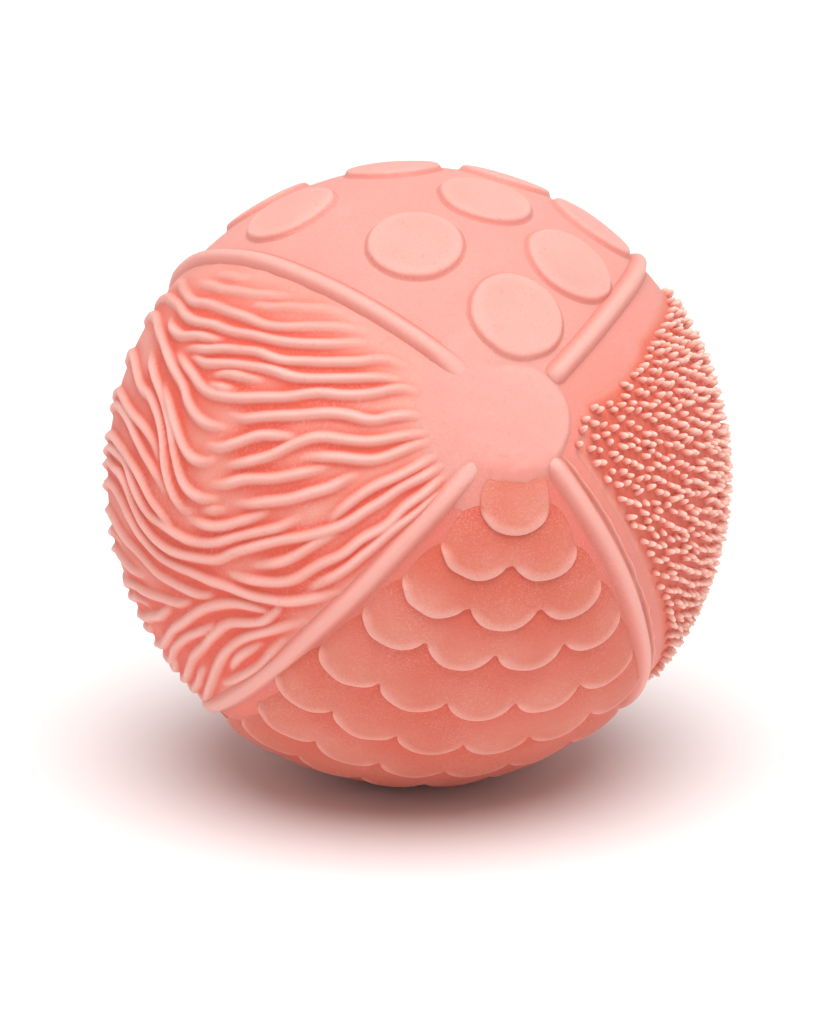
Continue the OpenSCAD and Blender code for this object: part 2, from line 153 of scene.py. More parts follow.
def lay(ways, height):
    """Places in the frame, in metres, at heights over the wall. The whole ball swells here and there."""
    out = BALL_R + height + uneven(ways, *SWELL)
    return (ways * np.asarray(out)[..., None]) @ LIE.T * MM


def lay_closed(ways, height, depth):
    """Rings laid over the wall, with two more in it that close the shape from its rim to its middle."""
    under = np.full((1, ways.shape[1]), -depth)
    return np.concatenate([lay(ways, height), lay(ways[-1:], under), lay(ways[:1], under)])


def tint_closed(tint):
    """A tint for the rings of a closed shape, with none on the two that lie in the wall."""
    return np.concatenate([tint, np.zeros((2, tint.shape[1]))])


def grid_faces(rows, columns, closed=False):
    """Quads between rows of points; a closed grid joins the last column to the first."""
    i, j = np.meshgrid(np.arange(rows - 1), np.arange(columns if closed else columns - 1), indexing="ij")
    k = (j + 1) % columns
    row = i * columns
    onward = row + columns
    return np.stack([row + j, row + k, onward + k, onward + j], axis=-1).reshape(-1, 4).tolist()


def tube_faces(rows, columns):
    """Faces of a tube of rings, closed at both ends."""
    last = (rows - 1) * columns
    return grid_faces(rows, columns, closed=True) + [list(range(columns)), list(range(last, last + columns))]


def rim_faces(upper, lower, first_upper, first_lower):
    """Faces that close a grid to an underside like it, or to one with wider steps, all round."""
    def border(shape, first):
        rows, columns = shape
        top = [(0, j) for j in range(columns - 1)]
        right = [(i, columns - 1) for i in range(rows - 1)]
        bottom = [(rows - 1, j) for j in range(columns - 1, 0, -1)]
        left = [(i, 0) for i in range(rows - 1, 0, -1)]
        return [first + i * columns + j for i, j in top + right + bottom + left]
    outer = border(upper, first_upper)
    inner = border(lower, first_lower)
    step = len(outer) // len(inner)
    faces = []
    for k, corner in enumerate(inner):
        stretch = [outer[(k * step + n) % len(outer)] for n in range(step + 1)]
        faces.append(stretch + [inner[(k + 1) % len(inner)], corner])
    return faces


def stand(name, data):
    """A new object in the scene."""
    made = bpy.data.objects.new(name, data)
    scene.collection.objects.link(made)
    return made


SHARP_ANGLE = 65
WELD_GAP = 1e-4


class Casting:
    """Points, faces and tints of one piece, gathered part by part."""

    def __init__(self):
        self.points = []
        self.faces = []
        # hollow holds painted shade: in hollows, along feet and under free edges; edge holds a painted
        # highlight: on rims, crests and tips
        self.hollow = []
        self.edge = []
        self.count = 0

    def add(self, points, faces, hollow=0, edge=0):
        points = np.asarray(points).reshape(-1, 3)
        first = self.count
        self.points.append(points)
        self.faces.extend([[first + n for n in face] for face in faces])
        self.hollow.append(np.broadcast_to(np.ravel(hollow), len(points)))
        self.edge.append(np.broadcast_to(np.ravel(edge), len(points)))
        self.count += len(points)

    def demould(self, name, finish, *nodes):
        """The piece as an object that stands for these CAD nodes."""
        mesh = bpy.data.meshes.new(name)
        mesh.from_pydata(np.concatenate(self.points).tolist(), [], self.faces)
        for tint, values in (("hollow", self.hollow), ("edge", self.edge)):
            layer = mesh.attributes.new(tint, "FLOAT", "POINT")
            layer.data.foreach_set("value", np.concatenate(values).astype(np.float32))
        shape = bmesh.new()
        shape.from_mesh(mesh)
        bmesh.ops.remove_doubles(shape, verts=shape.verts, dist=WELD_GAP * MM)
        bmesh.ops.recalc_face_normals(shape, faces=shape.faces)
        shape.to_mesh(mesh)
        shape.free()
        mesh.shade_smooth()
        mesh.set_sharp_from_angle(angle=math.radians(SHARP_ANGLE))
        mesh.materials.append(finish)
        made = stand(name, mesh)
        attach(made, BODY)
        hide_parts(*nodes)


# Finishes

# Sockets of a node that mixes colours
MIX_SHARE, MIX_GROUND, MIX_TINT, MIXED = 0, 6, 7, 2


class Wire:
    """A socket in a material's nodes; Python's own signs do maths on values."""

    def __init__(self, tree, socket=None):
        self.tree = tree
        self.socket = socket

    def node(self, kind, settings=None, sockets=None, out=0):
        """A new node's output: its settings are set first, then values or wires go to its sockets."""
        made = self.tree.nodes.new(kind)
        for name, value in (settings or {}).items():
            setattr(made, name, value)
        for name, value in (sockets or {}).items():
            self.join(value, made.inputs[name])
        return Wire(self.tree, made.outputs[out])

    def join(self, value, socket):
        if isinstance(value, Wire):
            self.tree.links.new(value.socket, socket)
        else:
            socket.default_value = value

    def maths(self, operation, other):
        return self.node("ShaderNodeMath", {"operation": operation}, {0: self, 1: other})

    def __add__(self, other):
        return self.maths("ADD", other)

    def __mul__(self, other):
        return self.maths("MULTIPLY", other)

    __radd__ = __add__
    __rmul__ = __mul__

    def between(self, low, high):
        """This value as a share of the way from low to high, kept from 0 to 1."""
        return self.node(
            "ShaderNodeMapRange",
            {"interpolation_type": "SMOOTHSTEP"},
            {"Value": self, "From Min": low, "From Max": high},
        )

    def mixed(self, share, ground, tint):
        """A ground colour with a share of another one in it."""
        sockets = {MIX_SHARE: share, MIX_GROUND: ground, MIX_TINT: tint}
        return self.node("ShaderNodeMix", {"data_type": "RGBA"}, sockets, out=MIXED)


def from_screen(red, green, blue):
    """A colour given as it shows on a screen, from 0 to 255."""
    def linear(level):
        share = level / 255
        return share / 12.92 if share <= 0.04045 else ((share + 0.055) / 1.055) ** 2.4
    return (linear(red), linear(green), linear(blue), 1)


SALMON = from_screen(234, 148, 131)
SALMON_PINK = from_screen(235, 162, 151)
# The scales' rubber colour with painted shade in it: a darker copy of the salmon for the scales low on the
# ball
SHADED_SALMON = from_screen(216, 118, 97)
RIDGE_SALMON = from_screen(234, 152, 137)
# Pale mottling, and the default painted highlight on edges
PALE_MOTTLE_AND_HIGHLIGHT = from_screen(242, 182, 170)
# Painted shade for hollows, which also colours the pits
SHADE_AND_PIT_SALMON = from_screen(226, 94, 74)
SHADED_DEEP = from_screen(212, 84, 60)
# Pale bloom, and the painted highlight on ridge crests
BLOOM_AND_HIGHLIGHT = from_screen(250, 204, 196)
# Painted highlight on bristle tips
CREAM_HIGHLIGHT = from_screen(252, 212, 196)

# Sizes of the rubber's clouds, dusty patches and lumps, and of its pits against the grain of its bloom
CLOUD_MM = 14
DUST_MM = 9
LUMP_MM = 1.8
PIT_TO_GRAIN = 1.7
NOISE_ROUGHNESS = 0.6
# Levels of noise between which each of these comes up
CLOUDED = (0.35, 0.75)
DUSTED = (0.35, 0.65)
BLOOMING = (0.44, 0.72)
PITTED = (0.64, 0.74)
LEAST_BLOOM = 0.35
# The relief's depth and what each size adds to it
BUMP_MM = 0.12
GRAIN_RISE = 0.7
PIT_RISE = 0.6
LUMP_RISE = 0.8
LEAST_ROUGHNESS = 0.56
GRAIN_ROUGHNESS = 0.14
SUBSURFACE_MM = (1.6, 0.55, 0.4)
SHINE = 0.35
SHEEN = 0.06
SHEEN_ROUGHNESS = 0.45


def rubber(
    name, flesh=SALMON, shade_and_pit_colour=SHADE_AND_PIT_SALMON, painted_highlight=PALE_MOTTLE_AND_HIGHLIGHT, mottle_share=0.3, painted_shade_share=0.6,
    painted_highlight_share=0.6, bloom_share=0.15, bloom_mm=0.35, bump=0.25, glow=0.35,
):
    """Matte natural rubber: mottled, with painted shade in hollows and a painted highlight on edges, and a
    dusting of pale bloom.
    """
    material = bpy.data.materials.new(name)
    material.use_nodes = True
    shader = material.node_tree.nodes["Principled BSDF"]
    new = Wire(material.node_tree)
    place = new.node("ShaderNodeTexCoord", out="Object")

    def noise(size_mm, detail):
        scale = 1 / (size_mm * MM)
        sockets = {"Vector": place, "Scale": scale, "Detail": detail, "Roughness": NOISE_ROUGHNESS}
        return new.node("ShaderNodeTexNoise", None, sockets)

    def layer(tint):
        return new.node("ShaderNodeAttribute", {"attribute_name": tint}, out="Fac")

    clouds = noise(CLOUD_MM, detail=3)
    grain = noise(bloom_mm, detail=2)
    pits = noise(bloom_mm * PIT_TO_GRAIN, detail=1)
    lumps = noise(LUMP_MM, detail=2)
    dust = noise(DUST_MM, detail=2).between(*DUSTED)
    bloom = grain.between(*BLOOMING) * (LEAST_BLOOM + (1 - LEAST_BLOOM) * dust)
    colour = flesh
    # Painted shade comes from the hollow layer and a painted highlight from the edge layer; the clouds, bloom
    # and pits are the rubber's own
    for share, tint in (
        (clouds.between(*CLOUDED) * mottle_share, PALE_MOTTLE_AND_HIGHLIGHT),
        (layer("hollow") * painted_shade_share, shade_and_pit_colour),
        (layer("edge") * painted_highlight_share, painted_highlight),
        (bloom * bloom_share, BLOOM_AND_HIGHLIGHT),
        (pits.between(*PITTED) * bloom_share, shade_and_pit_colour),
    ):
        colour = new.mixed(share, colour, tint)
    relief = {
        "Strength": bump,
        "Distance": BUMP_MM * MM,
        "Height": grain * GRAIN_RISE + pits * PIT_RISE + lumps * LUMP_RISE,
    }
    for socket, value in {
        "Base Color": colour,
        "Roughness": LEAST_ROUGHNESS + GRAIN_ROUGHNESS * grain,
        "Normal": new.node("ShaderNodeBump", None, relief, out="Normal"),
        "Subsurface Weight": glow,
        "Subsurface Radius": SUBSURFACE_MM,
        "Subsurface Scale": MM,
        "Specular IOR Level": SHINE,
        "Sheen Weight": SHEEN,
        "Sheen Roughness": SHEEN_ROUGHNESS,
    }.items():
        new.join(value, shader.inputs[socket])
    return material


plain_rubber = rubber("plain_rubber", flesh=SALMON_PINK, painted_shade_share=0.75, bloom_share=0.12)
pad_rubber = rubber("pad_rubber", flesh=SALMON_PINK, bloom_share=0.12, bump=0.35)
dot_rubber = rubber("dot_rubber", flesh=SALMON_PINK, mottle_share=0.5)
# Thin skins and overlapping scales let no light through, or they would show dark where they lie in each other
ridge_rubber = rubber("ridge_rubber", flesh=RIDGE_SALMON, painted_highlight=BLOOM_AND_HIGHLIGHT, painted_shade_share=1, painted_highlight_share=0.5, glow=0)
scale_rubber = rubber(
    "scale_rubber", flesh=SHADED_SALMON, shade_and_pit_colour=SHADED_DEEP, painted_shade_share=0.9, painted_highlight_share=0.8, bloom_share=0.2,
    bloom_mm=0.26, bump=1, glow=0,
)
bristle_rubber = rubber(
    "bristle_rubber", flesh=SALMON, shade_and_pit_colour=SHADED_DEEP, painted_highlight=CREAM_HIGHLIGHT, painted_shade_share=0.9, painted_highlight_share=0.9,
    bloom_share=0.1, glow=0,
)


# Wall, plug and pads

WALL_SEGMENTS = 288
WALL_RINGS = 150
INNER_RINGS = 40
# How much painted shade darkens the wall on either side of three ribs, most in the scales' quarter low on the
# ball; it changes under a rib
LEAST_SHADE = 0.2
SCALES_SHADE = 0.9
TINT_STEP = 1
WALL_SHADES = [
    (BRISTLES_DOTS_AT, 0.4, LEAST_SHADE),
    (WAVES_SCALES_AT, LEAST_SHADE, SCALES_SHADE),
    (SCALES_BRISTLES_AT, SCALES_SHADE, 0.6),
]


def cast_wall():
    """The hollow ball, open at the pour hole under the front pad."""
    hole = math.degrees(math.asin(POUR_HOLE_D / 2 / BALL_R))
    outer = np.linspace(hole, 180, WALL_RINGS)
    inner = np.linspace(180, hole, INNER_RINGS)
    rings = np.concatenate([outer, inner])
    depths = np.concatenate([0 * outer, 0 * inner - WALL_T])
    rounds = np.linspace(0, TURN, WALL_SEGMENTS, endpoint=False)
    rings, rounds = np.meshgrid(rings, rounds, indexing="ij")
    points = lay(way(rings, rounds), depths[:, None] + 0 * rounds)
    # Painted shade on the wall, by quarter
    tint_places = [rib + side for rib, _, _ in WALL_SHADES for side in (-TINT_STEP, TINT_STEP)]
    tints = [tint for _, *pair in WALL_SHADES for tint in pair]
    deeper = np.interp(rounds, tint_places, tints, period=TURN)
    faces = grid_faces(len(depths) + 1, WALL_SEGMENTS, closed=True)
    total = len(depths) * WALL_SEGMENTS
    wall = Casting()
    wall.add(points, [[n % total for n in face] for face in faces], hollow=deeper)
    wall.demould("rubber_wall_skin", plain_rubber, "rubber_wall")


def dress_plug():
    """The plug inside the wall keeps its CAD shape."""
    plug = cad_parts["pour_plug"]
    plug.data.materials.clear()
    plug.data.materials.append(plain_rubber)


PAD_SEGMENTS = 180
PAD_RINGS = 60
PAD_REACH = 14
PAD_FLATNESS = 0.6
PAD_EDGE_H = 0.6
PAD_SPARE = 0.1
PAD_STEP_W = 1
PAD_STRAY = (0.3, 9, 11)
PAD_ROUGH = (0.04, 3.2, 12)
# Painted shade at the foot of the pad's edge, and the shares of the pad's height between which it lies
PAD_FOOT_SHADE = 0.5
PAD_FOOT_BAND = (0.25, 0.5)
# Sides of the pad. Each has its middle, the cosines of the angle from there between which it grows, how far
# it moves the outline out and how much it widens the step down to the wall
PAD_SIDES = {
    "ridges": (WAVES_MIDDLE, -0.1, 0.75, 0, 5),
    "scales": (SCALES_MIDDLE, 0.58, 0.82, 0.5, 2),
    "dots": (DOTS_MIDDLE, 0.2, 0.8, -0.55, 1.6),
    "upper rib": (DOTS_WAVES_AT, 0.9, 1, 1.4, 4),
    "lower rib": (WAVES_SCALES_AT, 0.94, 1, 0.7, 2),
}
# The film at the scales, with painted shade that deepens over a width towards its border
FILM_STRAY = (0.3, 2.6, 13)
FILM_ROUGH = (0.07, 1.5, 14)
FILM_SHADE = 0.4
FILM_SHADE_W = 3
# The thin sheet among the ridges, and where it fades short of the pad's reach
SHEET_H = 0.15
SHEET_FADES = 2.5
SHEET_FADE_W = 2


def cast_pad(name, from_pole, number):
    """A nearly flat pad: it melts into the ridges, steps to the bristles and ends in a film at the scales."""
    shares = np.linspace(0, 1, PAD_RINGS)
    rounds = np.linspace(0, TURN, PAD_SEGMENTS, endpoint=False)
    shares, rounds = np.meshgrid(shares, rounds, indexing="ij")
    turn = np.radians(rounds)
    far = PAD_REACH * shares
    aside = way_beside(from_pole, 0, far * np.cos(turn), far * np.sin(turn))
    true_round = np.degrees(np.arctan2(aside[..., 1], aside[..., 0]))
    facing = {}
    outline = PAD_D / 2 + PAD_SPARE + uneven(aside, *PAD_STRAY, number)
    soft = PAD_STEP_W
    for side, (middle, begins, full, out, wider) in PAD_SIDES.items():
        facing[side] = ease((np.cos(np.radians(true_round - middle)) - begins) / (full - begins))
        outline = outline + out * facing[side]
        soft = soft + wider * facing[side]
    melt = facing["ridges"]
    film = facing["scales"]
    outline = outline + film * uneven(aside, *FILM_STRAY, number)
    dome = PAD_T + PAD_FLATNESS * (BALL_R / np.cos(far / BALL_R) - BALL_R)
    kept = 1 - ease((far - outline + soft / 2) / soft)
    rough = uneven(aside, *PAD_ROUGH, number)
    rough = rough + film * ease(far / (PAD_D / 2)) * uneven(aside, *FILM_ROUGH, number)
    sheet = SHEET_H * melt * (1 - ease((far - PAD_REACH + SHEET_FADES) / SHEET_FADE_W))
    height = (np.minimum(dome, PAD_EDGE_H) + rough) * kept + (sheet - SUNK * (1 - melt)) * (1 - kept)
    height[-1] = -SUNK
    # Painted shade: at the foot of the edge where it does not melt into the ridges, on the wall beyond, and
    # at the film over the scales
    foot = ease(kept / PAD_FOOT_BAND[0]) * (1 - ease(kept / PAD_FOOT_BAND[1]))
    deeper = PAD_FOOT_SHADE * (1 - melt) * foot + LEAST_SHADE * (1 - kept)
    deeper = deeper + FILM_SHADE * film * ease((far - outline + FILM_SHADE_W) / FILM_SHADE_W)
    pad = Casting()
    pad.add(
        lay_closed(aside, height, UNDER),
        grid_faces(PAD_RINGS + 2, PAD_SEGMENTS, closed=True),
        hollow=tint_closed(np.clip(deeper, 0, 1)),
    )
    pad.demould(name + "_skin", pad_rubber, name)


# Ribs and the mould seam

RIB_H = 1.1
RIB_HALF_W = 1.02
RIB_FOOT_W = 2.3
RIB_TIP_SHARE = 0.7
RIB_ROUND = 3
RIB_STRAY = (0.12, 17, 20)
RIB_STOUT = (0.06, 11, 21)
# Painted shade along the rib's feet, and a painted highlight along its crest
RIB_FOOT_SHADE = 0.85
RIB_HIGHLIGHT = 0.7
RIB_POINTS = 19
RIB_RINGS = 260
RIB_FLARE_ANGLE = 9
BLUNT = 0.5
MELTING = 1.2
# For each rib: its place, where it begins, the degrees over which it comes up, its nose and its flare
RIBS = {
    "rib_bristles_dots": (BRISTLES_DOTS_AT, 10, 2, BLUNT, 0),
    "rib_dots_waves": (DOTS_WAVES_AT, 7, 12, MELTING, 0.7),
    "rib_waves_scales": (WAVES_SCALES_AT, 4.5, 15, MELTING, 0.45),
    "rib_scales_bristles": (SCALES_BRISTLES_AT, 9, 3, BLUNT, 0),
}


def strip_ways(from_pole, round_pole, across):
    """Directions of rows across a strip along a meridian."""
    return np.stack([way_beside(angle, round_pole, 0 * row, row) for angle, row in zip(from_pole, across)])


def cast_rib(number, name, round_pole, begins, rises, nose, flare):
    """A round bead along a meridian, with filleted feet and a slightly uneven hand-finished line."""
    from_pole = np.linspace(begins, 180 - begins, RIB_RINGS)
    line = way(from_pole, round_pole)
    nearest_end = np.minimum(from_pole, 180 - from_pole)
    share = ease((nearest_end - begins) / rises) ** nose
    wide = RIB_TIP_SHARE + (1 - RIB_TIP_SHARE) * share
    wide = wide + flare * (1 - ease((nearest_end - PAD_ANGLE) / RIB_FLARE_ANGLE))
    across = np.linspace(-RIB_FOOT_W, RIB_FOOT_W, RIB_POINTS)
    stout = 1 + uneven(line, *RIB_STOUT, number)
    bead = np.exp(-np.abs(across / RIB_HALF_W) ** RIB_ROUND)
    height = RIB_H * bead * (share * stout)[:, None] - SUNK * (1 - bead)
    sides = across * wide[:, None] + uneven(line, *RIB_STRAY, number)[:, None]
    placed = strip_ways(from_pole, round_pole, -sides)
    under = way_beside(90, round_pole, np.radians(from_pole - 90) * BALL_R, 0 * from_pole)
    under = lay(under, np.full(RIB_RINGS, -DEEP_UNDER))
    rib = Casting()
    rib.add(
        np.concatenate([lay(placed, height), under[:, None]], axis=1),
        tube_faces(RIB_RINGS, RIB_POINTS + 1),
        # Painted shade at the feet, a painted highlight on the crest
        hollow=np.tile([*(1 - bead) * RIB_FOOT_SHADE, 0], RIB_RINGS),
        edge=np.tile([*bead ** 2 * RIB_HIGHLIGHT, 0], RIB_RINGS),
    )
    rib.demould(name + "_bead", plain_rubber, name)


SEAM_H = 0.55
SEAM_T = 0.12
SEAM_OFFSET = 1.8
SEAM_STRAY = (0.12, 13, 34)
SEAM_LEAN = 0.22
SEAM_LEAN_STRAY = (0.2, 4, 33)
SEAM_RINGS = 420
SEAM_BEGINS = 11
SEAM_RISES = 3
# Painted shade at the film's foot
SEAM_FOOT_SHADE = 0.5
# Where the film is torn, which is below a level, how softly, and what is left of its height
SEAM_TEARS = (1, 8, 31)
TEAR_LEVEL = -0.75
TEAR_SOFT = 0.5
TORN_SHARE = 0.25
# The film's usual share of its height, and how its edge frays
SEAM_SHARE = 0.85
SEAM_FRAY = (0.3, 2.4, 32)
# Section of the film: place across it, share of its lean, share of its height and share of its painted
# highlight; where that is low, painted shade lies at its foot
SEAM_SECTION = [
    (-0.3, 0, 0, 0), (-SEAM_T / 2, 0, 0.35, 0.3), (-SEAM_T / 3, 1, 0.92, 1), (0, 1, 1, 1),
    (SEAM_T / 3, 1, 0.85, 1), (SEAM_T / 2, 0, 0.3, 0.3), (0.22, 0, 0, 0),
]


def cast_seam():
    """The thin film of flash beside one rib: it stands unevenly, leans over and is torn here and there."""
    from_pole = np.linspace(SEAM_BEGINS, 180 - SEAM_BEGINS, SEAM_RINGS)
    line = way(from_pole, SCALES_BRISTLES_AT)
    whole = ease((uneven(line, *SEAM_TEARS) - TEAR_LEVEL) / TEAR_SOFT)
    tall = SEAM_H * (TORN_SHARE + (1 - TORN_SHARE) * whole)
    tall = tall * (SEAM_SHARE + uneven(line, *SEAM_FRAY))
    tall = tall * ease((np.minimum(from_pole, 180 - from_pole) - SEAM_BEGINS) / SEAM_RISES)
    over = (SEAM_LEAN + uneven(line, *SEAM_LEAN_STRAY)) * tall
    offset = SEAM_OFFSET + uneven(line, *SEAM_STRAY)
    beside, leaning, rises, painted_highlight = np.array(SEAM_SECTION).T
    aside = offset[:, None] + beside + over[:, None] * leaning
    height = tall[:, None] * rises - SUNK * (rises == 0)
    placed = strip_ways(from_pole, SCALES_BRISTLES_AT, aside)
    seam = Casting()
    seam.add(
        lay(placed, height),
        tube_faces(SEAM_RINGS, len(SEAM_SECTION)),
        # Painted shade at the film's foot and a painted highlight along its top
        hollow=np.tile((1 - painted_highlight) * SEAM_FOOT_SHADE, SEAM_RINGS),
        edge=np.tile(painted_highlight, SEAM_RINGS),
    )
    seam.demould("mould_seam_film", plain_rubber, "mould_seam")


# Dots

DOT_D = 12
DOT_H = 0.8
DOT_SEGMENTS = 72
# Each dot's angle from the front pole and from the middle of its quarter
FRONT_DOTS = [(19.6, -8), (36.7, -28.5), (38.8, 20), (50.6, -6), (60, -34), (67, 32.5), (71.5, -16), (72, 7)]
MIDDLE_DOTS = [(90, -27), (90, 0), (90, 27)]
DOTS = FRONT_DOTS + MIDDLE_DOTS + [(180 - from_pole, -aside) for from_pole, aside in FRONT_DOTS]
# Section of a dot from its middle out: share of its radius and share of its height
DOT_SECTION = [
    (0, 1), (0.4, 1), (0.7, 0.997), (0.82, 0.985), (0.89, 0.955), (0.935, 0.9), (0.965, 0.8), (0.985, 0.66),
    (1, 0.5), (1.016, 0.33), (1.04, 0.17), (1.08, 0.06), (1.15, 0.01),
]
# Unevenness of a dot's outline, coarse and fine, and of its top
DOT_STRAY = (0.022, 8, 40)
DOT_FINE_STRAY = (0.008, 2.5, 70)
DOT_TOP = (0.03, 6, 90)
# Shares of a dot's radius, and the painted highlight on the rim or the painted shade at the foot at each
DOT_RIM_HIGHLIGHT = ([0.7, 0.88, 0.96, 1], [0, 0.45, 0.35, 0])
DOT_FOOT_SHADE = ([0.95, 1.03, 1.17], [0, 0.7, 0.25])


def cast_dot(number, from_pole, aside):
    """A flat disc with a rounded rim and a fillet at its foot."""
    name = f"dot_{number:02d}"
    middle = (from_pole, DOTS_MIDDLE + aside)
    turn = np.linspace(0, math.tau, DOT_SEGMENTS, endpoint=False)
    shares, rises = np.array(DOT_SECTION).T[..., None]
    rim = way_beside(*middle, np.cos(turn) * DOT_D / 2, np.sin(turn) * DOT_D / 2)
    stray = uneven(rim, *DOT_STRAY, number) + uneven(rim, *DOT_FINE_STRAY, number)
    far = shares * (1 + stray) * DOT_D / 2
    placed = way_beside(*middle, far * np.cos(turn), far * np.sin(turn))
    height = (DOT_H + uneven(placed, *DOT_TOP)) * rises - SUNK * (1 - rises)
    dot = Casting()
    dot.add(
        lay_closed(placed, height, DEEP_UNDER),
        grid_faces(len(DOT_SECTION) + 2, DOT_SEGMENTS, closed=True),
        # Painted shade round the foot, a painted highlight on the rim
        hollow=tint_closed(np.interp(shares, *DOT_FOOT_SHADE) + 0 * far),
        edge=tint_closed(np.interp(shares, *DOT_RIM_HIGHLIGHT) + 0 * far),
    )
    dot.demould(name + "_disc", dot_rubber, name)


# Scales

SCALE_W = 8.9
SCALE_PITCH = 8.6
SCALE_EDGE_H = 1.1
SCALE_ROOT_H = 0.08
SCALE_FLARE = 1.4
SCALE_FLARE_RUN = 1.2
SCALE_FRONT = 0.8
FIRST_ROW_END = 14.4
NEAR_ROW_STEP = 6.2
NEAR_ROWS = 4
FAR_ROW_STEP = 8.3
# How far a root lies under the row before it, and how far behind the scale's middle at least
ROOT_LAP = 0.4
LEAST_BACK = 1
SCALES_WIDTH = SCALES_BRISTLES_AT - WAVES_SCALES_AT
CUSP_TURN = math.asin(SCALE_PITCH / SCALE_W)
SCALE_NOTCH = SCALE_W / 2 * SCALE_FRONT * (1 - math.cos(CUSP_TURN))
# Insets of a scale's rings from its outline, and the share of its height at each
SCALE_RIM = [
    (SCALE_W / 2, 1), (3.8, 1), (3, 1), (2.1, 1), (1.4, 1), (0.95, 0.99), (0.65, 0.97), (0.42, 0.92),
    (0.24, 0.83), (0.11, 0.7), (0.03, 0.52), (0, 0.28), (0.02, -0.05),
]
RIM_TOP_SHARE = 0.5
SCALE_SIDE_POINTS = 9
SCALE_ROUND_POINTS = 40
# How far a free side curves in towards the root: nearly straight under the pad, round elsewhere
FIRST_TUCK = 0.35
ROUND_TUCK = 0.8
# Where the round edge begins past the scale's middle; behind it a free side slopes down into the wall
EDGE_BEGINS = 1
EDGE_RUN = 1.6
SIDE_SLOPE_W = 2
SIDE_SUNK_SHARE = 0.1
# How the scales differ: the height of their edges, their turn, their outline and their top
TIP_SHARES = (0.96, 1.04)
SCALE_TURN = 0.03
SCALE_STRAY = (0.02, 3.5, 120)
SCALE_TOP = (0.035, 5, 121)
SCALE_CURVE = 1.2
SCALE_SEED = 200
SEEDS_PER_ROW = 20
# Insets, and the painted highlight on the rim or the painted shade at the free edge's foot at each; then the
# painted shade at the root, under the row before, by the share of the way from there
SCALE_RIM_HIGHLIGHT = ([0, 0.12, 0.5, 1.4], [0.3, 1, 0.6, 0])
SCALE_FOOT_SHADE = ([0, 0.06], [0.8, 0])
SCALE_ROOT_SHADE = ([0.1, 0.85], [0.9, 0])
FIRST_ROOT_SHADE = ([0.1, 0.85], [0.3, 0])


def row_ends():
    """Lengths along the wall from the front pole to the free edges of the rows."""
    ends = [FIRST_ROW_END + row * NEAR_ROW_STEP for row in range(NEAR_ROWS)]
    while ends[-1] + FAR_ROW_STEP <= math.radians(180 - PAD_ANGLE) * BALL_R:
        ends.append(ends[-1] + FAR_ROW_STEP)
    return ends


def scale_outline(inset, root, sides):
    """One ring of a scale, from its root up one side, round its free edge and back."""
    half = SCALE_W / 2
    share = 1 - inset / half

    def front_at(turn):
        return share * half * (1 - SCALE_FRONT + SCALE_FRONT * np.cos(turn))

    def side(tuck):
        """A side's end on the round edge, and its points; a joined one widens from the cusp to its root."""
        limit = CUSP_TURN if tuck is None else math.pi / 2
        back = np.linspace(root, front_at(limit), SCALE_SIDE_POINTS, endpoint=False)
        behind = front_at(limit) - back
        if tuck is None:
            wide = half * math.sin(limit) + SCALE_FLARE * ease(behind / SCALE_FLARE_RUN)
        else:
            wide = half * np.sqrt(1 - tuck * (behind / (front_at(limit) - root)) ** 2)
        return limit, back, share * wide

    near_limit, near_back, near_wide = side(sides[0])
    far_limit, far_back, far_wide = side(sides[1])
    turn = np.linspace(-near_limit, far_limit, SCALE_ROUND_POINTS)
    along = np.concatenate([near_back, front_at(turn), far_back[::-1]])
    across = np.concatenate([-near_wide, share * half * np.sin(turn), far_wide[::-1]])
    return along, across


def add_scale(row, middle_from_pole, round_pole, root, sides, at_pad, seed):
    """One scale, from its root up to a round free edge; a side with no tuck runs on under its neighbour."""
    rng = np.random.default_rng(seed)
    along, across = np.stack([scale_outline(inset, root, sides) for inset, _ in SCALE_RIM], axis=1)
    insets, rises = np.array(SCALE_RIM).T[..., None]
    tip = SCALE_EDGE_H * rng.uniform(*TIP_SHARES)
    front = ease((along - EDGE_BEGINS) / EDGE_RUN)
    if not at_pad:
        free = np.where(across < 0, sides[0] is not None, sides[1] is not None)
        sloped = (1 + SIDE_SUNK_SHARE) * ease(insets / SIDE_SLOPE_W) - SIDE_SUNK_SHARE
        rises = rises + (sloped - rises) * free * (1 - front)
    spin = rng.uniform(-SCALE_TURN, SCALE_TURN)
    turned_along = along * math.cos(spin) - across * math.sin(spin)
    turned_across = along * math.sin(spin) + across * math.cos(spin)
    placed = way_beside(middle_from_pole, round_pole, turned_along, turned_across)
    wobble = 1 + uneven(placed, *SCALE_STRAY) * front
    placed = way_beside(middle_from_pole, round_pole, turned_along * wobble, turned_across * wobble)
    from_pole = np.degrees(np.arccos(placed[..., 2]))
    past_root = (from_pole - middle_from_pole) / arc_angle(1) - root
    slope = np.clip(past_root / (SCALE_W / 2 - root), 0, 1)
    height = (SCALE_ROOT_H + (tip - SCALE_ROOT_H) * slope ** SCALE_CURVE) * rises
    height = height + uneven(placed, *SCALE_TOP) * (rises > RIM_TOP_SHARE)
    rows = len(SCALE_RIM) + 2
    columns = along.shape[1]
    faces = grid_faces(rows, columns)
    last = columns - 1
    faces.append([i * columns for i in range(rows)] + [i * columns + last for i in range(rows - 2, 0, -1)])
    # Painted shade along the free edge's foot and at the root under the row before; a painted highlight on
    # the rim
    deeper = np.interp(insets, *SCALE_FOOT_SHADE) * front
    deeper = deeper + np.interp(slope, *(FIRST_ROOT_SHADE if at_pad else SCALE_ROOT_SHADE))
    row.add(
        lay_closed(placed, height, UNDER),
        faces,
        hollow=tint_closed(np.clip(deeper, 0, 1)),
        edge=tint_closed(np.interp(insets, *SCALE_RIM_HIGHLIGHT) * front),
    )


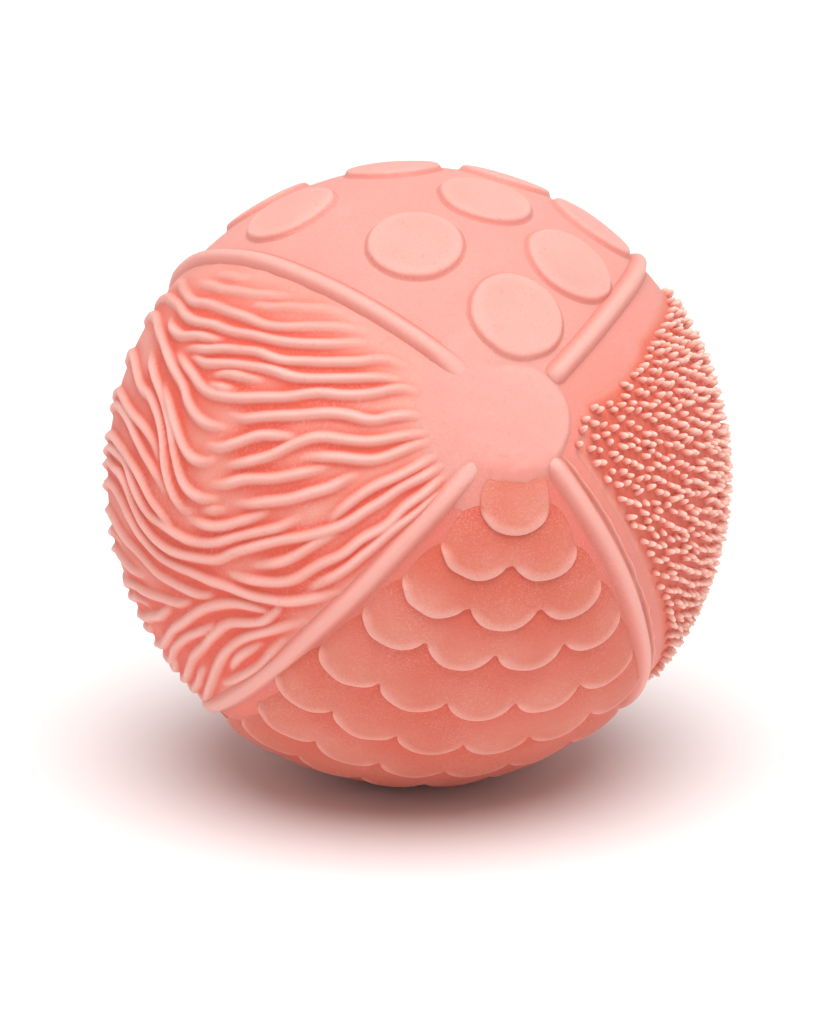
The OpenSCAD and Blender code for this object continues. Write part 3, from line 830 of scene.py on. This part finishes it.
def cast_scale_row(number, ends):
    """A row of scales side by side, between the clear strips of the ribs."""
    end = ends[number]
    to_middle = end - SCALE_W / 2
    middle = arc_angle(to_middle)
    width = BALL_R * math.sin(math.radians(middle)) * math.radians(SCALES_WIDTH) - RIB_W
    count = max(1, min(number + 1, round(width / SCALE_PITCH)))
    previous = ends[number - 1] - SCALE_NOTCH if number > 0 else PAD_D / 2
    root = min(previous - ROOT_LAP, to_middle - LEAST_BACK) - to_middle
    step = arc_angle(SCALE_PITCH) / math.sin(math.radians(middle))
    free = ROUND_TUCK if number > 0 else FIRST_TUCK
    row = Casting()
    for i in range(count):
        aside = (i - (count - 1) / 2) * step
        sides = (free if i == 0 else None, free if i == count - 1 else None)
        seed = SCALE_SEED + SEEDS_PER_ROW * number + i
        add_scale(row, middle, SCALES_MIDDLE + aside, root, sides, number == 0, seed)
    name = f"scale_row_{number + 1:02d}"
    row.demould(name + "_scales", scale_rubber, name)


# Waves

RIDGE_H = 0.74
WAVES_HALF = (WAVES_SCALES_AT - DOTS_WAVES_AT) / 2
WAVE_SPAN = (12, 168)
WAVE_ROWS = 401
WAVE_COLUMNS = 241
WAVE_COARSE = 8
WAVE_ROW_STEP = (WAVE_SPAN[1] - WAVE_SPAN[0]) / (WAVE_ROWS - 1)
WAVE_COLUMN_STEP = 2 * WAVES_HALF / (WAVE_COLUMNS - 1)
# Ridges of the front half, each as places along its upper flank: degrees across from a meridian and degrees
# from the front pole; the crests lie a little further across
CREST_MERIDIAN = 180
CREST_SHIFT = 0.7
CRESTS = [
    [(-7, 16.5), (-8.4, 21), (-7.9, 25), (-8.6, 30), (-9.8, 35), (-10.3, 40), (-11.2, 45), (-12, 50),
     (-13.2, 55), (-16, 60), (-19.4, 63.2), (-22.4, 66.5), (-24.8, 69.5)],
    [(-2.7, 15.5), (-3.6, 21), (-3.2, 25), (-5.2, 30), (-6.4, 35), (-7, 40), (-7.4, 45), (-8.3, 50),
     (-9.7, 53)],
    [(0.3, 14.5), (0, 19), (0.6, 25), (-0.8, 30), (-2.1, 35), (-1.8, 40), (-0.6, 44), (-0.3, 48),
     (-0.8, 54)],
    [(-2.4, 38), (-3.7, 42), (-4.5, 46), (-4.1, 51), (-3.8, 54.7), (-5.3, 58)],
    [(1.7, 14.5), (2, 19), (3.7, 24), (3, 29), (1.4, 34), (0.8, 39)],
    [(3.5, 34), (3.7, 39), (3.3, 45), (2.6, 50), (2.7, 54.5), (2, 58.3)],
    [(5.7, 29), (7, 35), (7.5, 40), (7.2, 46), (6.9, 50), (6.3, 54)],
    [(3.7, 13.5), (4.8, 17), (6.6, 22), (8.3, 28), (10.7, 34), (13.4, 38.5)],
    [(5.6, 13.5), (7, 17), (9.5, 24), (12.3, 31), (14.5, 37), (14.6, 44), (14.2, 51), (14.6, 57),
     (15.3, 61.5), (14.6, 65), (12.6, 70), (10, 75), (6.7, 78.7), (1.3, 82), (-2, 83.3), (-4.5, 85.5),
     (-7, 89.5), (-9, 96), (-9.7, 100)],
    [(15.5, 37), (16.4, 42), (18.2, 48), (18.4, 52), (17.8, 55.7)],
    [(7.6, 14.5), (9.5, 18), (12.5, 24), (16.2, 31), (18.6, 37), (20.5, 44), (22.2, 50), (21.5, 54.7),
     (19.7, 58.7), (18, 61.5)],
    [(10.4, 16.5), (13, 21), (15.8, 27), (18.2, 32), (20.2, 36), (22, 40), (24, 46), (24.7, 49)],
    [(26.3, 44), (26.8, 48), (25.8, 54), (24, 58), (21, 62.3), (18.7, 66), (16, 69.3), (14.2, 73.5),
     (11.3, 77.7), (6.3, 82), (2, 85.3), (-2, 88.7), (-4.5, 93.5), (-6, 101)],
    [(25.7, 54.5), (27.6, 57), (28.7, 60.3), (27.8, 64.3), (26.8, 68.7), (28, 72.7), (29.5, 77), (30.4, 83),
     (32, 89.3), (33.2, 94), (33.5, 100), (33.3, 104)],
    [(27.4, 57.5), (25.7, 59.7), (23.7, 63.7), (22.8, 68.7), (23.2, 73.7), (24.3, 79), (24.8, 85),
     (26, 92.7), (26.1, 98), (25.7, 103)],
    [(11.3, 42), (12.3, 46), (12.2, 51), (12.2, 57), (12, 62), (10.7, 66.7), (8.7, 69.7), (6, 73.3), (4, 77),
     (0, 79.4), (-3.3, 81), (-6.8, 84), (-9.5, 88.5), (-11.7, 95), (-12.3, 99)],
    [(8.7, 69.8), (5, 72), (1.3, 75), (-3, 77.7), (-6.3, 80.7), (-8.7, 83.7), (-11, 87.3), (-13.3, 92),
     (-15, 98)],
    [(9, 47), (9.6, 53), (9.9, 57), (8.6, 62), (6.3, 65.8)],
    [(7.3, 55.5), (6.5, 59), (5.8, 61.5)],
    [(5.6, 63.5), (5.2, 66), (2, 68), (-3, 69), (-9, 69.3), (-13.5, 71.2), (-17.3, 74.7), (-19.3, 78.5),
     (-23, 82.7), (-27, 87.3), (-29.5, 93), (-30.2, 96)],
    [(4.9, 56.5), (4.1, 60.5), (1.7, 64.5), (-4, 66), (-9, 66.6), (-14, 69), (-18.7, 72.5), (-23, 76.5),
     (-27.5, 80.5)],
    [(-2.3, 55.5), (-1.7, 59), (-4.3, 62.7), (-9, 65.2), (-15, 68.3), (-19.5, 71.5)],
    [(-7, 53), (-8.3, 57), (-10.5, 60), (-14, 63), (-17, 64.5), (-20, 67.3), (-23, 70.7), (-27.5, 75),
     (-30.9, 79.3), (-33.8, 82.7), (-35.8, 86.7), (-37.5, 91.7), (-38.2, 93.7)],
    [(-4.5, 71), (-8.5, 72.3), (-12, 76), (-14.5, 80.5), (-17.7, 85), (-20.7, 90), (-23, 96)],
    [(1.5, 70), (-3, 72.3), (-8.3, 77), (-13.7, 82), (-16.7, 85.7), (-18.7, 90.7), (-20.3, 96)],
    [(21, 66.5), (20.5, 70.5), (17.7, 75.3), (14.3, 80.4), (10, 84.3), (5.3, 90.7), (0.3, 96),
     (-1.3, 101.5)],
    [(21.2, 73.3), (20.4, 79), (18.3, 84.3), (15.7, 90.3), (14, 94)],
    [(21, 80.5), (21.5, 87.3), (21, 92.7), (20, 99), (19, 104.5)],
    [(26.3, 71), (27, 77), (26.9, 83), (28, 90), (29, 97), (28.7, 103.7)],
    [(30.8, 53), (30.5, 58), (30.2, 64), (31, 71.3), (33.8, 79), (36.7, 87), (38.5, 94), (38.8, 100),
     (38.5, 104)],
    [(32.8, 59.3), (35, 64.7), (37, 70), (37.8, 76), (38, 84)],
    [(32.2, 64), (33.3, 69.7), (35.7, 77.7)],
    [(14.3, 86), (11.7, 91.3), (7.7, 97.7), (5.7, 101.3)],
    [(6, 94), (4.3, 96.7), (2.3, 102)],
    [(19, 90.3), (16.7, 95.3), (15.3, 101)],
    [(22.3, 97), (21.3, 104.5)],
    [(30, 94), (30.6, 99), (30.5, 104)],
    [(33.3, 83.3), (35.2, 90.3), (36.2, 97), (36, 103.7)],
    [(-9.6, 20.5), (-11, 25), (-11.6, 30), (-12.2, 35), (-13.8, 40), (-16, 45), (-18, 50), (-19.4, 55),
     (-20.4, 60), (-22.2, 63), (-23.1, 65)],
    [(-12.6, 20.5), (-14.4, 25), (-14.8, 31), (-16.4, 40), (-18.3, 45), (-20.5, 49.5), (-21.4, 53.5),
     (-22.7, 57.6), (-23.5, 60.7), (-24.4, 64.3), (-25, 67.5)],
    [(-18.3, 29), (-18.9, 32), (-19.2, 35), (-20.2, 40), (-21.6, 45), (-23.4, 50), (-25.2, 55),
     (-26.7, 58.1), (-28.2, 61), (-29.4, 65), (-30.8, 68.5), (-33.3, 72.7), (-36, 76.3), (-38, 80.3),
     (-40.3, 87.3), (-41.7, 92.3)],
    [(-24, 56.5), (-24.7, 58.6), (-25.9, 61.8), (-27.2, 66), (-28.5, 70.8), (-31, 75), (-33.7, 78)],
    [(-21, 30), (-22, 33), (-22.8, 36), (-23.3, 39), (-24.3, 45), (-25.8, 50), (-28.5, 55), (-31, 60),
     (-33.7, 66), (-36, 72.7), (-40, 78.7), (-43, 83.5), (-45, 90)],
    [(-26.1, 36.2), (-27.1, 38.9), (-28, 41.6), (-28.8, 46), (-29.4, 50), (-31.5, 55)],
    [(-31.5, 47), (-32.6, 51.5), (-34, 57), (-36.3, 63), (-38.5, 69), (-41, 75)],
    [(-38.1, 59), (-39.5, 63.3), (-40.7, 67.3), (-41.7, 70)],
    [(-14.4, 46), (-15.6, 50), (-17.2, 54), (-18, 58)],
    [(-13.6, 51), (-15.3, 56), (-16.5, 59)],
]
CORNER_CUTS = 4
CORNER_SHARE = 0.25
# Ridges that reach the first of these angles run on round the rear to the others in turn
REAR_BEGINS = 92
REAR_ENDS = (164, 131, 150, 138)
REAR_STEP = 8
REAR_SWEEP = 11
REAR_SWEEP_SPAN = 50
RIDGE_SAMPLE = 0.28
# A ridge comes up from its ends over a length, from a tip's worth on
RIDGE_TAPER = 4.5
RIDGE_TIP = 0.2
RIDGE_NOSE = 0.7
# How far the ridges stray from their lines at the rear, and the share of that in front
RIDGE_WANDER = (0.4, 6.5, 310)
FRONT_WANDER_SHARE = 0.45
# A ridge's usual share of its height, and how it differs along the ridge
RIDGE_SHARE = 0.94
RIDGE_UNEVEN = (0.14, 9, 340)
# Half width of a low ridge and what full height adds to it, then where its flank begins and how far it runs
RIDGE_GIRTH = 0.58
RIDGE_GIRTH_GAIN = 0.24
FLANK_BEGINS = 0.06
FLANK_RUN = 1.14
RIDGE_REACH = 1.5
# How widely the valleys are found, and how strongly painted shade darkens them
VALLEY_STEPS = 5
VALLEY_SHADE_GAIN = 3.2
# Where the ridges come up from the pads and from either rib, and their share of height by the dots' rib
PAD_FADE = 11
PAD_FADE_RUN = 10
BY_DOTS_SHARE = 0.32
BY_DOTS_W = 11
BY_RIBS_W = 1.6
# The skin's height over the wall, its unevenness, and the degrees over which it leaves the wall
WAVE_SKIN_H = 0.09
WAVE_SKIN_UNEVEN = (0.04, 4, 370)
WAVE_SKIN_RISES = 2.5


def crest_places(crest, rear_end):
    """Angles from the front pole and round it along a ridge, with its run round the rear."""
    places = [
        (from_pole, CREST_MERIDIAN + (across + CREST_SHIFT) / math.sin(math.radians(from_pole)))
        for across, from_pole in crest
    ]
    last, round_pole = places[-1]
    lane = (round_pole - WAVES_MIDDLE) / WAVES_HALF
    for from_pole in np.arange(last + REAR_STEP, rear_end, REAR_STEP):
        sweep = REAR_SWEEP * ease((from_pole - last) / REAR_SWEEP_SPAN) * (1 - lane * lane)
        places.append((from_pole, round_pole - sweep))
    return np.array(places)


def cut_corners(line):
    """A line rounded by cutting its corners again and again; its ends stay."""
    for _ in range(CORNER_CUTS):
        onward = CORNER_SHARE * (line[1:] - line[:-1])
        halves = np.stack([line[:-1] + onward, line[1:] - onward], axis=1)
        line = np.concatenate([line[:1], halves.reshape(-1, 2), line[-1:]])
    return line


def ridge_lines():
    """Ridges as directions along their crests, with a share of the ridge's height at each."""
    running = [crest for crest in CRESTS if crest[-1][1] >= REAR_BEGINS]
    running.sort(key=lambda crest: crest[-1][0])
    lines = []
    for number, crest in enumerate(CRESTS):
        rear_end = REAR_ENDS[running.index(crest) % len(REAR_ENDS)] if crest in running else 0
        from_pole, round_pole = cut_corners(crest_places(crest, rear_end)).T
        steps = np.linalg.norm(np.diff(way(from_pole, round_pole), axis=0), axis=1) * BALL_R
        run = np.concatenate([[0], np.cumsum(steps)])
        even = np.arange(0, run[-1], RIDGE_SAMPLE)
        from_pole = np.interp(even, run, from_pole)
        round_pole = np.interp(even, run, round_pole)
        line = way(from_pole, round_pole)
        unsure = ease((from_pole - REAR_BEGINS) / REAR_STEP)
        unsure = FRONT_WANDER_SHARE + (1 - FRONT_WANDER_SHARE) * unsure
        aside = unsure * arc_angle(uneven(line, *RIDGE_WANDER, number))
        line = way(from_pole, round_pole + aside / np.sin(np.radians(from_pole)))
        to_end = np.minimum(even, run[-1] - even) + RIDGE_TIP
        share = RIDGE_SHARE + uneven(line, *RIDGE_UNEVEN, number)
        lines.append((line, ease(to_end / RIDGE_TAPER) ** RIDGE_NOSE * share))
    return lines


def wave_relief(ways):
    """Shares of a ridge's height over a grid of directions."""
    heap = np.zeros(ways.shape[:2])
    reach = arc_angle(RIDGE_REACH)
    rows_near = math.ceil(reach / WAVE_ROW_STEP) + 1
    for line, shares in ridge_lines():
        near = np.full(ways.shape[:2], RIDGE_REACH)
        tall = np.zeros(ways.shape[:2])
        for point, share in zip(line, shares):
            from_pole = math.degrees(math.acos(point[2]))
            round_pole = math.degrees(math.atan2(point[1], point[0])) % TURN
            row = round((from_pole - WAVE_SPAN[0]) / WAVE_ROW_STEP)
            column = int((round_pole - DOTS_WAVES_AT) / WAVE_COLUMN_STEP)
            columns_near = math.ceil(reach / math.sin(math.radians(from_pole)) / WAVE_COLUMN_STEP) + 1
            window = (
                slice(max(0, row - rows_near), row + rows_near + 1),
                slice(max(0, column - columns_near), column + columns_near + 2),
            )
            away = np.linalg.norm(ways[window] - point, axis=-1) * BALL_R
            closer = away < near[window]
            near[window] = np.where(closer, away, near[window])
            tall[window] = np.where(closer, share, tall[window])
        girth = RIDGE_GIRTH + RIDGE_GIRTH_GAIN * tall
        bead = 1 - ease((near / girth - FLANK_BEGINS) / FLANK_RUN)
        heap += (bead * tall) ** 3
    return np.cbrt(heap)


def spread_out(values, steps):
    """Values on a grid, each one shared out softly among its neighbours."""
    near = np.arange(-2 * steps, 2 * steps + 1)
    weights = np.exp(-(near / steps) ** 2 / 2)
    weights /= weights.sum()
    for axis in (0, 1):
        values = sum(weight * np.roll(values, shift, axis) for weight, shift in zip(weights, near))
    return values


def cast_waves():
    """The wavy quarter as one skin: round-crested ridges that fork, waver and melt into the pads."""
    from_pole = np.linspace(*WAVE_SPAN, WAVE_ROWS)
    round_pole = np.linspace(DOTS_WAVES_AT, WAVES_SCALES_AT, WAVE_COLUMNS)
    from_pole, round_pole = np.meshgrid(from_pole, round_pole, indexing="ij")
    ways = way(from_pole, round_pole)
    nearest_pole = np.minimum(from_pole, 180 - from_pole)
    girdle = np.sin(np.radians(from_pole)) * BALL_R
    to_dots = np.radians(round_pole - DOTS_WAVES_AT) * girdle
    to_ribs = np.minimum(to_dots, np.radians(WAVES_SCALES_AT - round_pole) * girdle)
    share = wave_relief(ways) * ease((nearest_pole - PAD_FADE) / PAD_FADE_RUN) * ease(to_ribs / BY_RIBS_W)
    share = share * (BY_DOTS_SHARE + (1 - BY_DOTS_SHARE) * ease(to_dots / BY_DOTS_W))
    afloat = ease((nearest_pole - WAVE_SPAN[0]) / WAVE_SKIN_RISES)
    skin_height = WAVE_SKIN_H + uneven(ways, *WAVE_SKIN_UNEVEN)
    height = RIDGE_H * share + skin_height * afloat - SUNK * (1 - afloat)
    # Painted shade in the valleys; a painted highlight on the crests
    valley_shade = np.clip((spread_out(share, VALLEY_STEPS) - share) * VALLEY_SHADE_GAIN, 0, 1)
    coarse = ways[::WAVE_COARSE, ::WAVE_COARSE]
    under = lay(coarse, np.full(coarse.shape[:2], -SUNK))
    skin = Casting()
    skin.add(lay(ways, height), grid_faces(*share.shape), hollow=valley_shade, edge=np.clip(share, 0, 1) ** 2)
    first = skin.count
    skin.add(under, [face[::-1] for face in grid_faces(*coarse.shape[:2])])
    skin.faces.extend(rim_faces(share.shape, coarse.shape[:2], 0, first))
    skin.demould("wave_ridge_skin", ridge_rubber, "long_wave_ridges", "short_wave_ridges")


# Bristles

BRISTLE_PITCH = 1.58
ROW_TO_PITCH = 0.9
BRISTLE_H = 1.45
BED_EDGES = (12.5, 30, 50, 74, 106, 130, 150, 167.5)
BED_SEED = 400
BRISTLE_SIDES = 8
# Section of a bristle: share of its height and its radius
BRISTLE_SECTION = [
    (-0.12, 0.62), (0.04, 0.52), (0.3, 0.42), (0.58, 0.35), (0.8, 0.28), (0.94, 0.18), (1, 0.06),
]
# How bristles differ: their height, their girth, their lean and their place, as a share of the pitch
BRISTLE_TALL = (0.8, 1.06)
BRISTLE_STOUT = (0.85, 1.1)
BRISTLE_LEAN = 0.14
BRISTLE_UPSET = 0.14
# Shares of a bristle's height, and the painted highlight towards the tip or the painted shade at the foot at
# each
BRISTLE_TIP_HIGHLIGHT = ([0.25, 0.85], [0, 1])
BRISTLE_FOOT_SHADE = ([0, 0.4], [0.9, 0])
# Bare margins beside the ribs, along the wall. Near a pad the bristles stop sooner: degrees from the nearest
# pole, and the last degree round it
MARGIN_AT_SCALES = 4.1
MARGIN_AT_DOTS = 5.6
FIELD_LIMITS = ([13, 22, 32, 50], [4, 11, 21, 43])
# The bed under the bristles: its grid, its thickness, how far it runs on past them, its border's width and
# the painted shade on it between the bristles
BED_GRID = (12, 36)
BED_T = 0.16
BED_MARGIN = 1.2
BED_FEATHER = 2.4
BED_SHADE = 0.85


def add_bristle(bed, from_pole, round_pole, rng):
    """One short tapered nub with a round tip that leans a little."""
    turn = np.linspace(0, math.tau, BRISTLE_SIDES, endpoint=False)
    tall = BRISTLE_H * rng.uniform(*BRISTLE_TALL)
    stout = rng.uniform(*BRISTLE_STOUT)
    lean_along, lean_across = rng.normal(0, BRISTLE_LEAN, 2)
    shares, girths = np.array(BRISTLE_SECTION).T[..., None]
    drift = np.clip(shares, 0, 1) * tall
    along = girths * stout * np.cos(turn) + drift * lean_along
    across = girths * stout * np.sin(turn) + drift * lean_across
    bed.add(
        lay(way_beside(from_pole, round_pole, along, across), shares * tall + 0 * along),
        tube_faces(len(BRISTLE_SECTION), BRISTLE_SIDES),
        # Painted shade at the foot, a painted highlight towards the tip
        hollow=np.interp(shares, *BRISTLE_FOOT_SHADE) + 0 * along,
        edge=np.interp(shares, *BRISTLE_TIP_HIGHLIGHT) + 0 * along,
    )


def bristle_field(from_pole):
    """Angles round the pole between which bristles stand, at an angle from the front pole."""
    nearest_pole = min(from_pole, 180 - from_pole)
    wide = math.sin(math.radians(from_pole))
    low = SCALES_BRISTLES_AT - TURN + arc_angle(MARGIN_AT_SCALES) / wide
    high = BRISTLES_DOTS_AT - arc_angle(MARGIN_AT_DOTS) / wide
    return low, min(high, np.interp(nearest_pole, *FIELD_LIMITS))


def add_bed_skin(bed, begins, ends):
    """The thin skin that a bed's bristles stand on; it sinks into the wall at the border of the field."""
    angles = np.linspace(begins, ends, BED_GRID[0])
    spread = np.linspace(0, 1, BED_GRID[1])
    low, high = np.array([bristle_field(angle) for angle in angles]).T
    wide = np.sin(np.radians(angles))
    margin = arc_angle(BED_MARGIN) / wide
    low = low - margin
    high = high + margin
    round_pole = low[:, None] + (high - low)[:, None] * spread
    ways = way(angles[:, None] + 0 * round_pole, round_pole)
    to_side = np.minimum(spread, 1 - spread) * (np.radians(high - low) * wide)[:, None]
    to_pole = np.radians(np.minimum(angles - BED_EDGES[0], BED_EDGES[-1] - angles))[:, None]
    inside = ease(np.minimum(to_side, to_pole) * BALL_R / BED_FEATHER)
    faces = grid_faces(*BED_GRID)
    first_top = bed.count
    # Painted shade on the skin between the bristles, fading out at its border
    bed.add(lay(ways, BED_T * inside - SUNK / 2), faces, hollow=BED_SHADE * inside)
    first_under = bed.count
    bed.add(lay(ways, np.full(BED_GRID, -UNDER)), [face[::-1] for face in faces])
    bed.faces.extend(rim_faces(BED_GRID, BED_GRID, first_top, first_under))


def cast_bristle_bed(number):
    """A band of the bristle quarter: bristles scattered on a loose grid, with the skin under them."""
    name = f"bristle_bed_{number + 1:02d}"
    rng = np.random.default_rng(BED_SEED + number)
    begins, ends = BED_EDGES[number:number + 2]
    pitch = arc_angle(BRISTLE_PITCH)
    rows = round((ends - begins) / arc_angle(BRISTLE_PITCH * ROW_TO_PITCH))
    bed = Casting()
    for i in range(rows):
        from_pole = begins + (i + 0.5) * (ends - begins) / rows
        low, high = bristle_field(from_pole)
        step = pitch / math.sin(math.radians(from_pole))
        stagger = 0.5 + 0.5 * (i % 2)
        for j in range(int((high - low) / step)):
            round_pole = low + (j + stagger) * step + rng.normal(0, BRISTLE_UPSET) * step
            upset = rng.normal(0, BRISTLE_UPSET) * pitch
            add_bristle(bed, from_pole + upset, round_pole, rng)
    add_bed_skin(bed, begins, ends)
    bed.demould(name + "_bristles", bristle_rubber, name)


cast_wall()
dress_plug()
cast_pad("front_pad", 0, number=0)
cast_pad("rear_pad", 180, number=1)
for rib_number, (rib_name, rib) in enumerate(RIBS.items()):
    cast_rib(rib_number, rib_name, *rib)
cast_seam()
for dot_number, dot_place in enumerate(DOTS, start=1):
    cast_dot(dot_number, *dot_place)
scale_ends = row_ends()
for row_number in range(len(scale_ends)):
    cast_scale_row(row_number, scale_ends)
cast_waves()
for bed_number in range(len(BED_EDGES) - 1):
    cast_bristle_bed(bed_number)


# Floor, light and camera

FLOOR_SIZE_M = 6
FLOOR_COLOUR = (0.94, 0.92, 0.915, 1)
FLOOR_ROUGHNESS = 0.8
FLOOR_SHINE = 0.1


def lay_floor():
    """A plain white table under the ball."""
    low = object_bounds()[0]
    mesh = bpy.data.meshes.new("floor")
    half = FLOOR_SIZE_M / 2
    corners = [(-half, -half, low.z), (half, -half, low.z), (half, half, low.z), (-half, half, low.z)]
    mesh.from_pydata(corners, [], [(0, 1, 2, 3)])
    material = bpy.data.materials.new("white_table")
    material.use_nodes = True
    shader = material.node_tree.nodes["Principled BSDF"]
    shader.inputs["Base Color"].default_value = FLOOR_COLOUR
    shader.inputs["Roughness"].default_value = FLOOR_ROUGHNESS
    shader.inputs["Specular IOR Level"].default_value = FLOOR_SHINE
    mesh.materials.append(material)
    floor = stand("floor", mesh)


# The way to the key light, and how wide it looks from the ball
KEY_LIGHT_WAY = (-0.05, -0.28, 0.96)
KEY_LIGHT_WIDTH = 60
KEY_LIGHT_STRENGTH = 3.1
ROOM_LIGHT_STRENGTH = 0.4


def hang_key_light():
    """A wide soft light, as far off as a studio's ceiling."""
    lamp = bpy.data.lights.new("key_light", "SUN")
    lamp.angle = math.radians(KEY_LIGHT_WIDTH)
    lamp.energy = KEY_LIGHT_STRENGTH
    light = stand("key_light", lamp)
    light.rotation_euler = Vector(KEY_LIGHT_WAY).to_track_quat("Z", "Y").to_euler()


def light_room():
    """Even white light from all round."""
    world = bpy.data.worlds.new("studio")
    world.use_nodes = True
    background = world.node_tree.nodes["Background"]
    background.inputs["Color"].default_value = (1, 1, 1, 1)
    background.inputs["Strength"].default_value = ROOM_LIGHT_STRENGTH
    scene.world = world


# The photograph's frame in pixels, and the plain wall's middle and radius in it
FRAME_PX = (818, 1024)
BALL_MIDDLE_PX = (415.5, 473.5)
BALL_R_PX = 306
VIEW_AZIMUTH = -19.6
VIEW_ELEVATION = 16
VIEW_DISTANCE_RADII = 14
SENSOR_H = 36


def stand_camera():
    """The camera at the photograph's viewing angle, aimed at the ball's middle."""
    azimuth = math.radians(VIEW_AZIMUTH)
    elevation = math.radians(VIEW_ELEVATION)
    back = Vector((
        math.sin(azimuth) * math.cos(elevation),
        -math.cos(azimuth) * math.cos(elevation),
        math.sin(elevation),
    ))
    right = Vector((math.cos(azimuth), math.sin(azimuth), 0))
    up = back.cross(right)
    turned = Matrix((right, up, back)).transposed().to_4x4()
    lens = bpy.data.cameras.new("photo_camera")
    lens.sensor_fit = "VERTICAL"
    lens.sensor_height = SENSOR_H
    lens.lens = BALL_R_PX * VIEW_DISTANCE_RADII / FRAME_PX[1] * SENSOR_H
    lens.shift_x = (FRAME_PX[0] / 2 - BALL_MIDDLE_PX[0]) / FRAME_PX[1]
    lens.shift_y = (BALL_MIDDLE_PX[1] - FRAME_PX[1] / 2) / FRAME_PX[1]
    camera = stand("photo_camera", lens)
    camera.matrix_world = Matrix.Translation(back * VIEW_DISTANCE_RADII * BALL_R * MM) @ turned
    scene.camera = camera


lay_floor()
light_room()
hang_key_light()
stand_camera()
scene.view_settings.view_transform = "Standard"
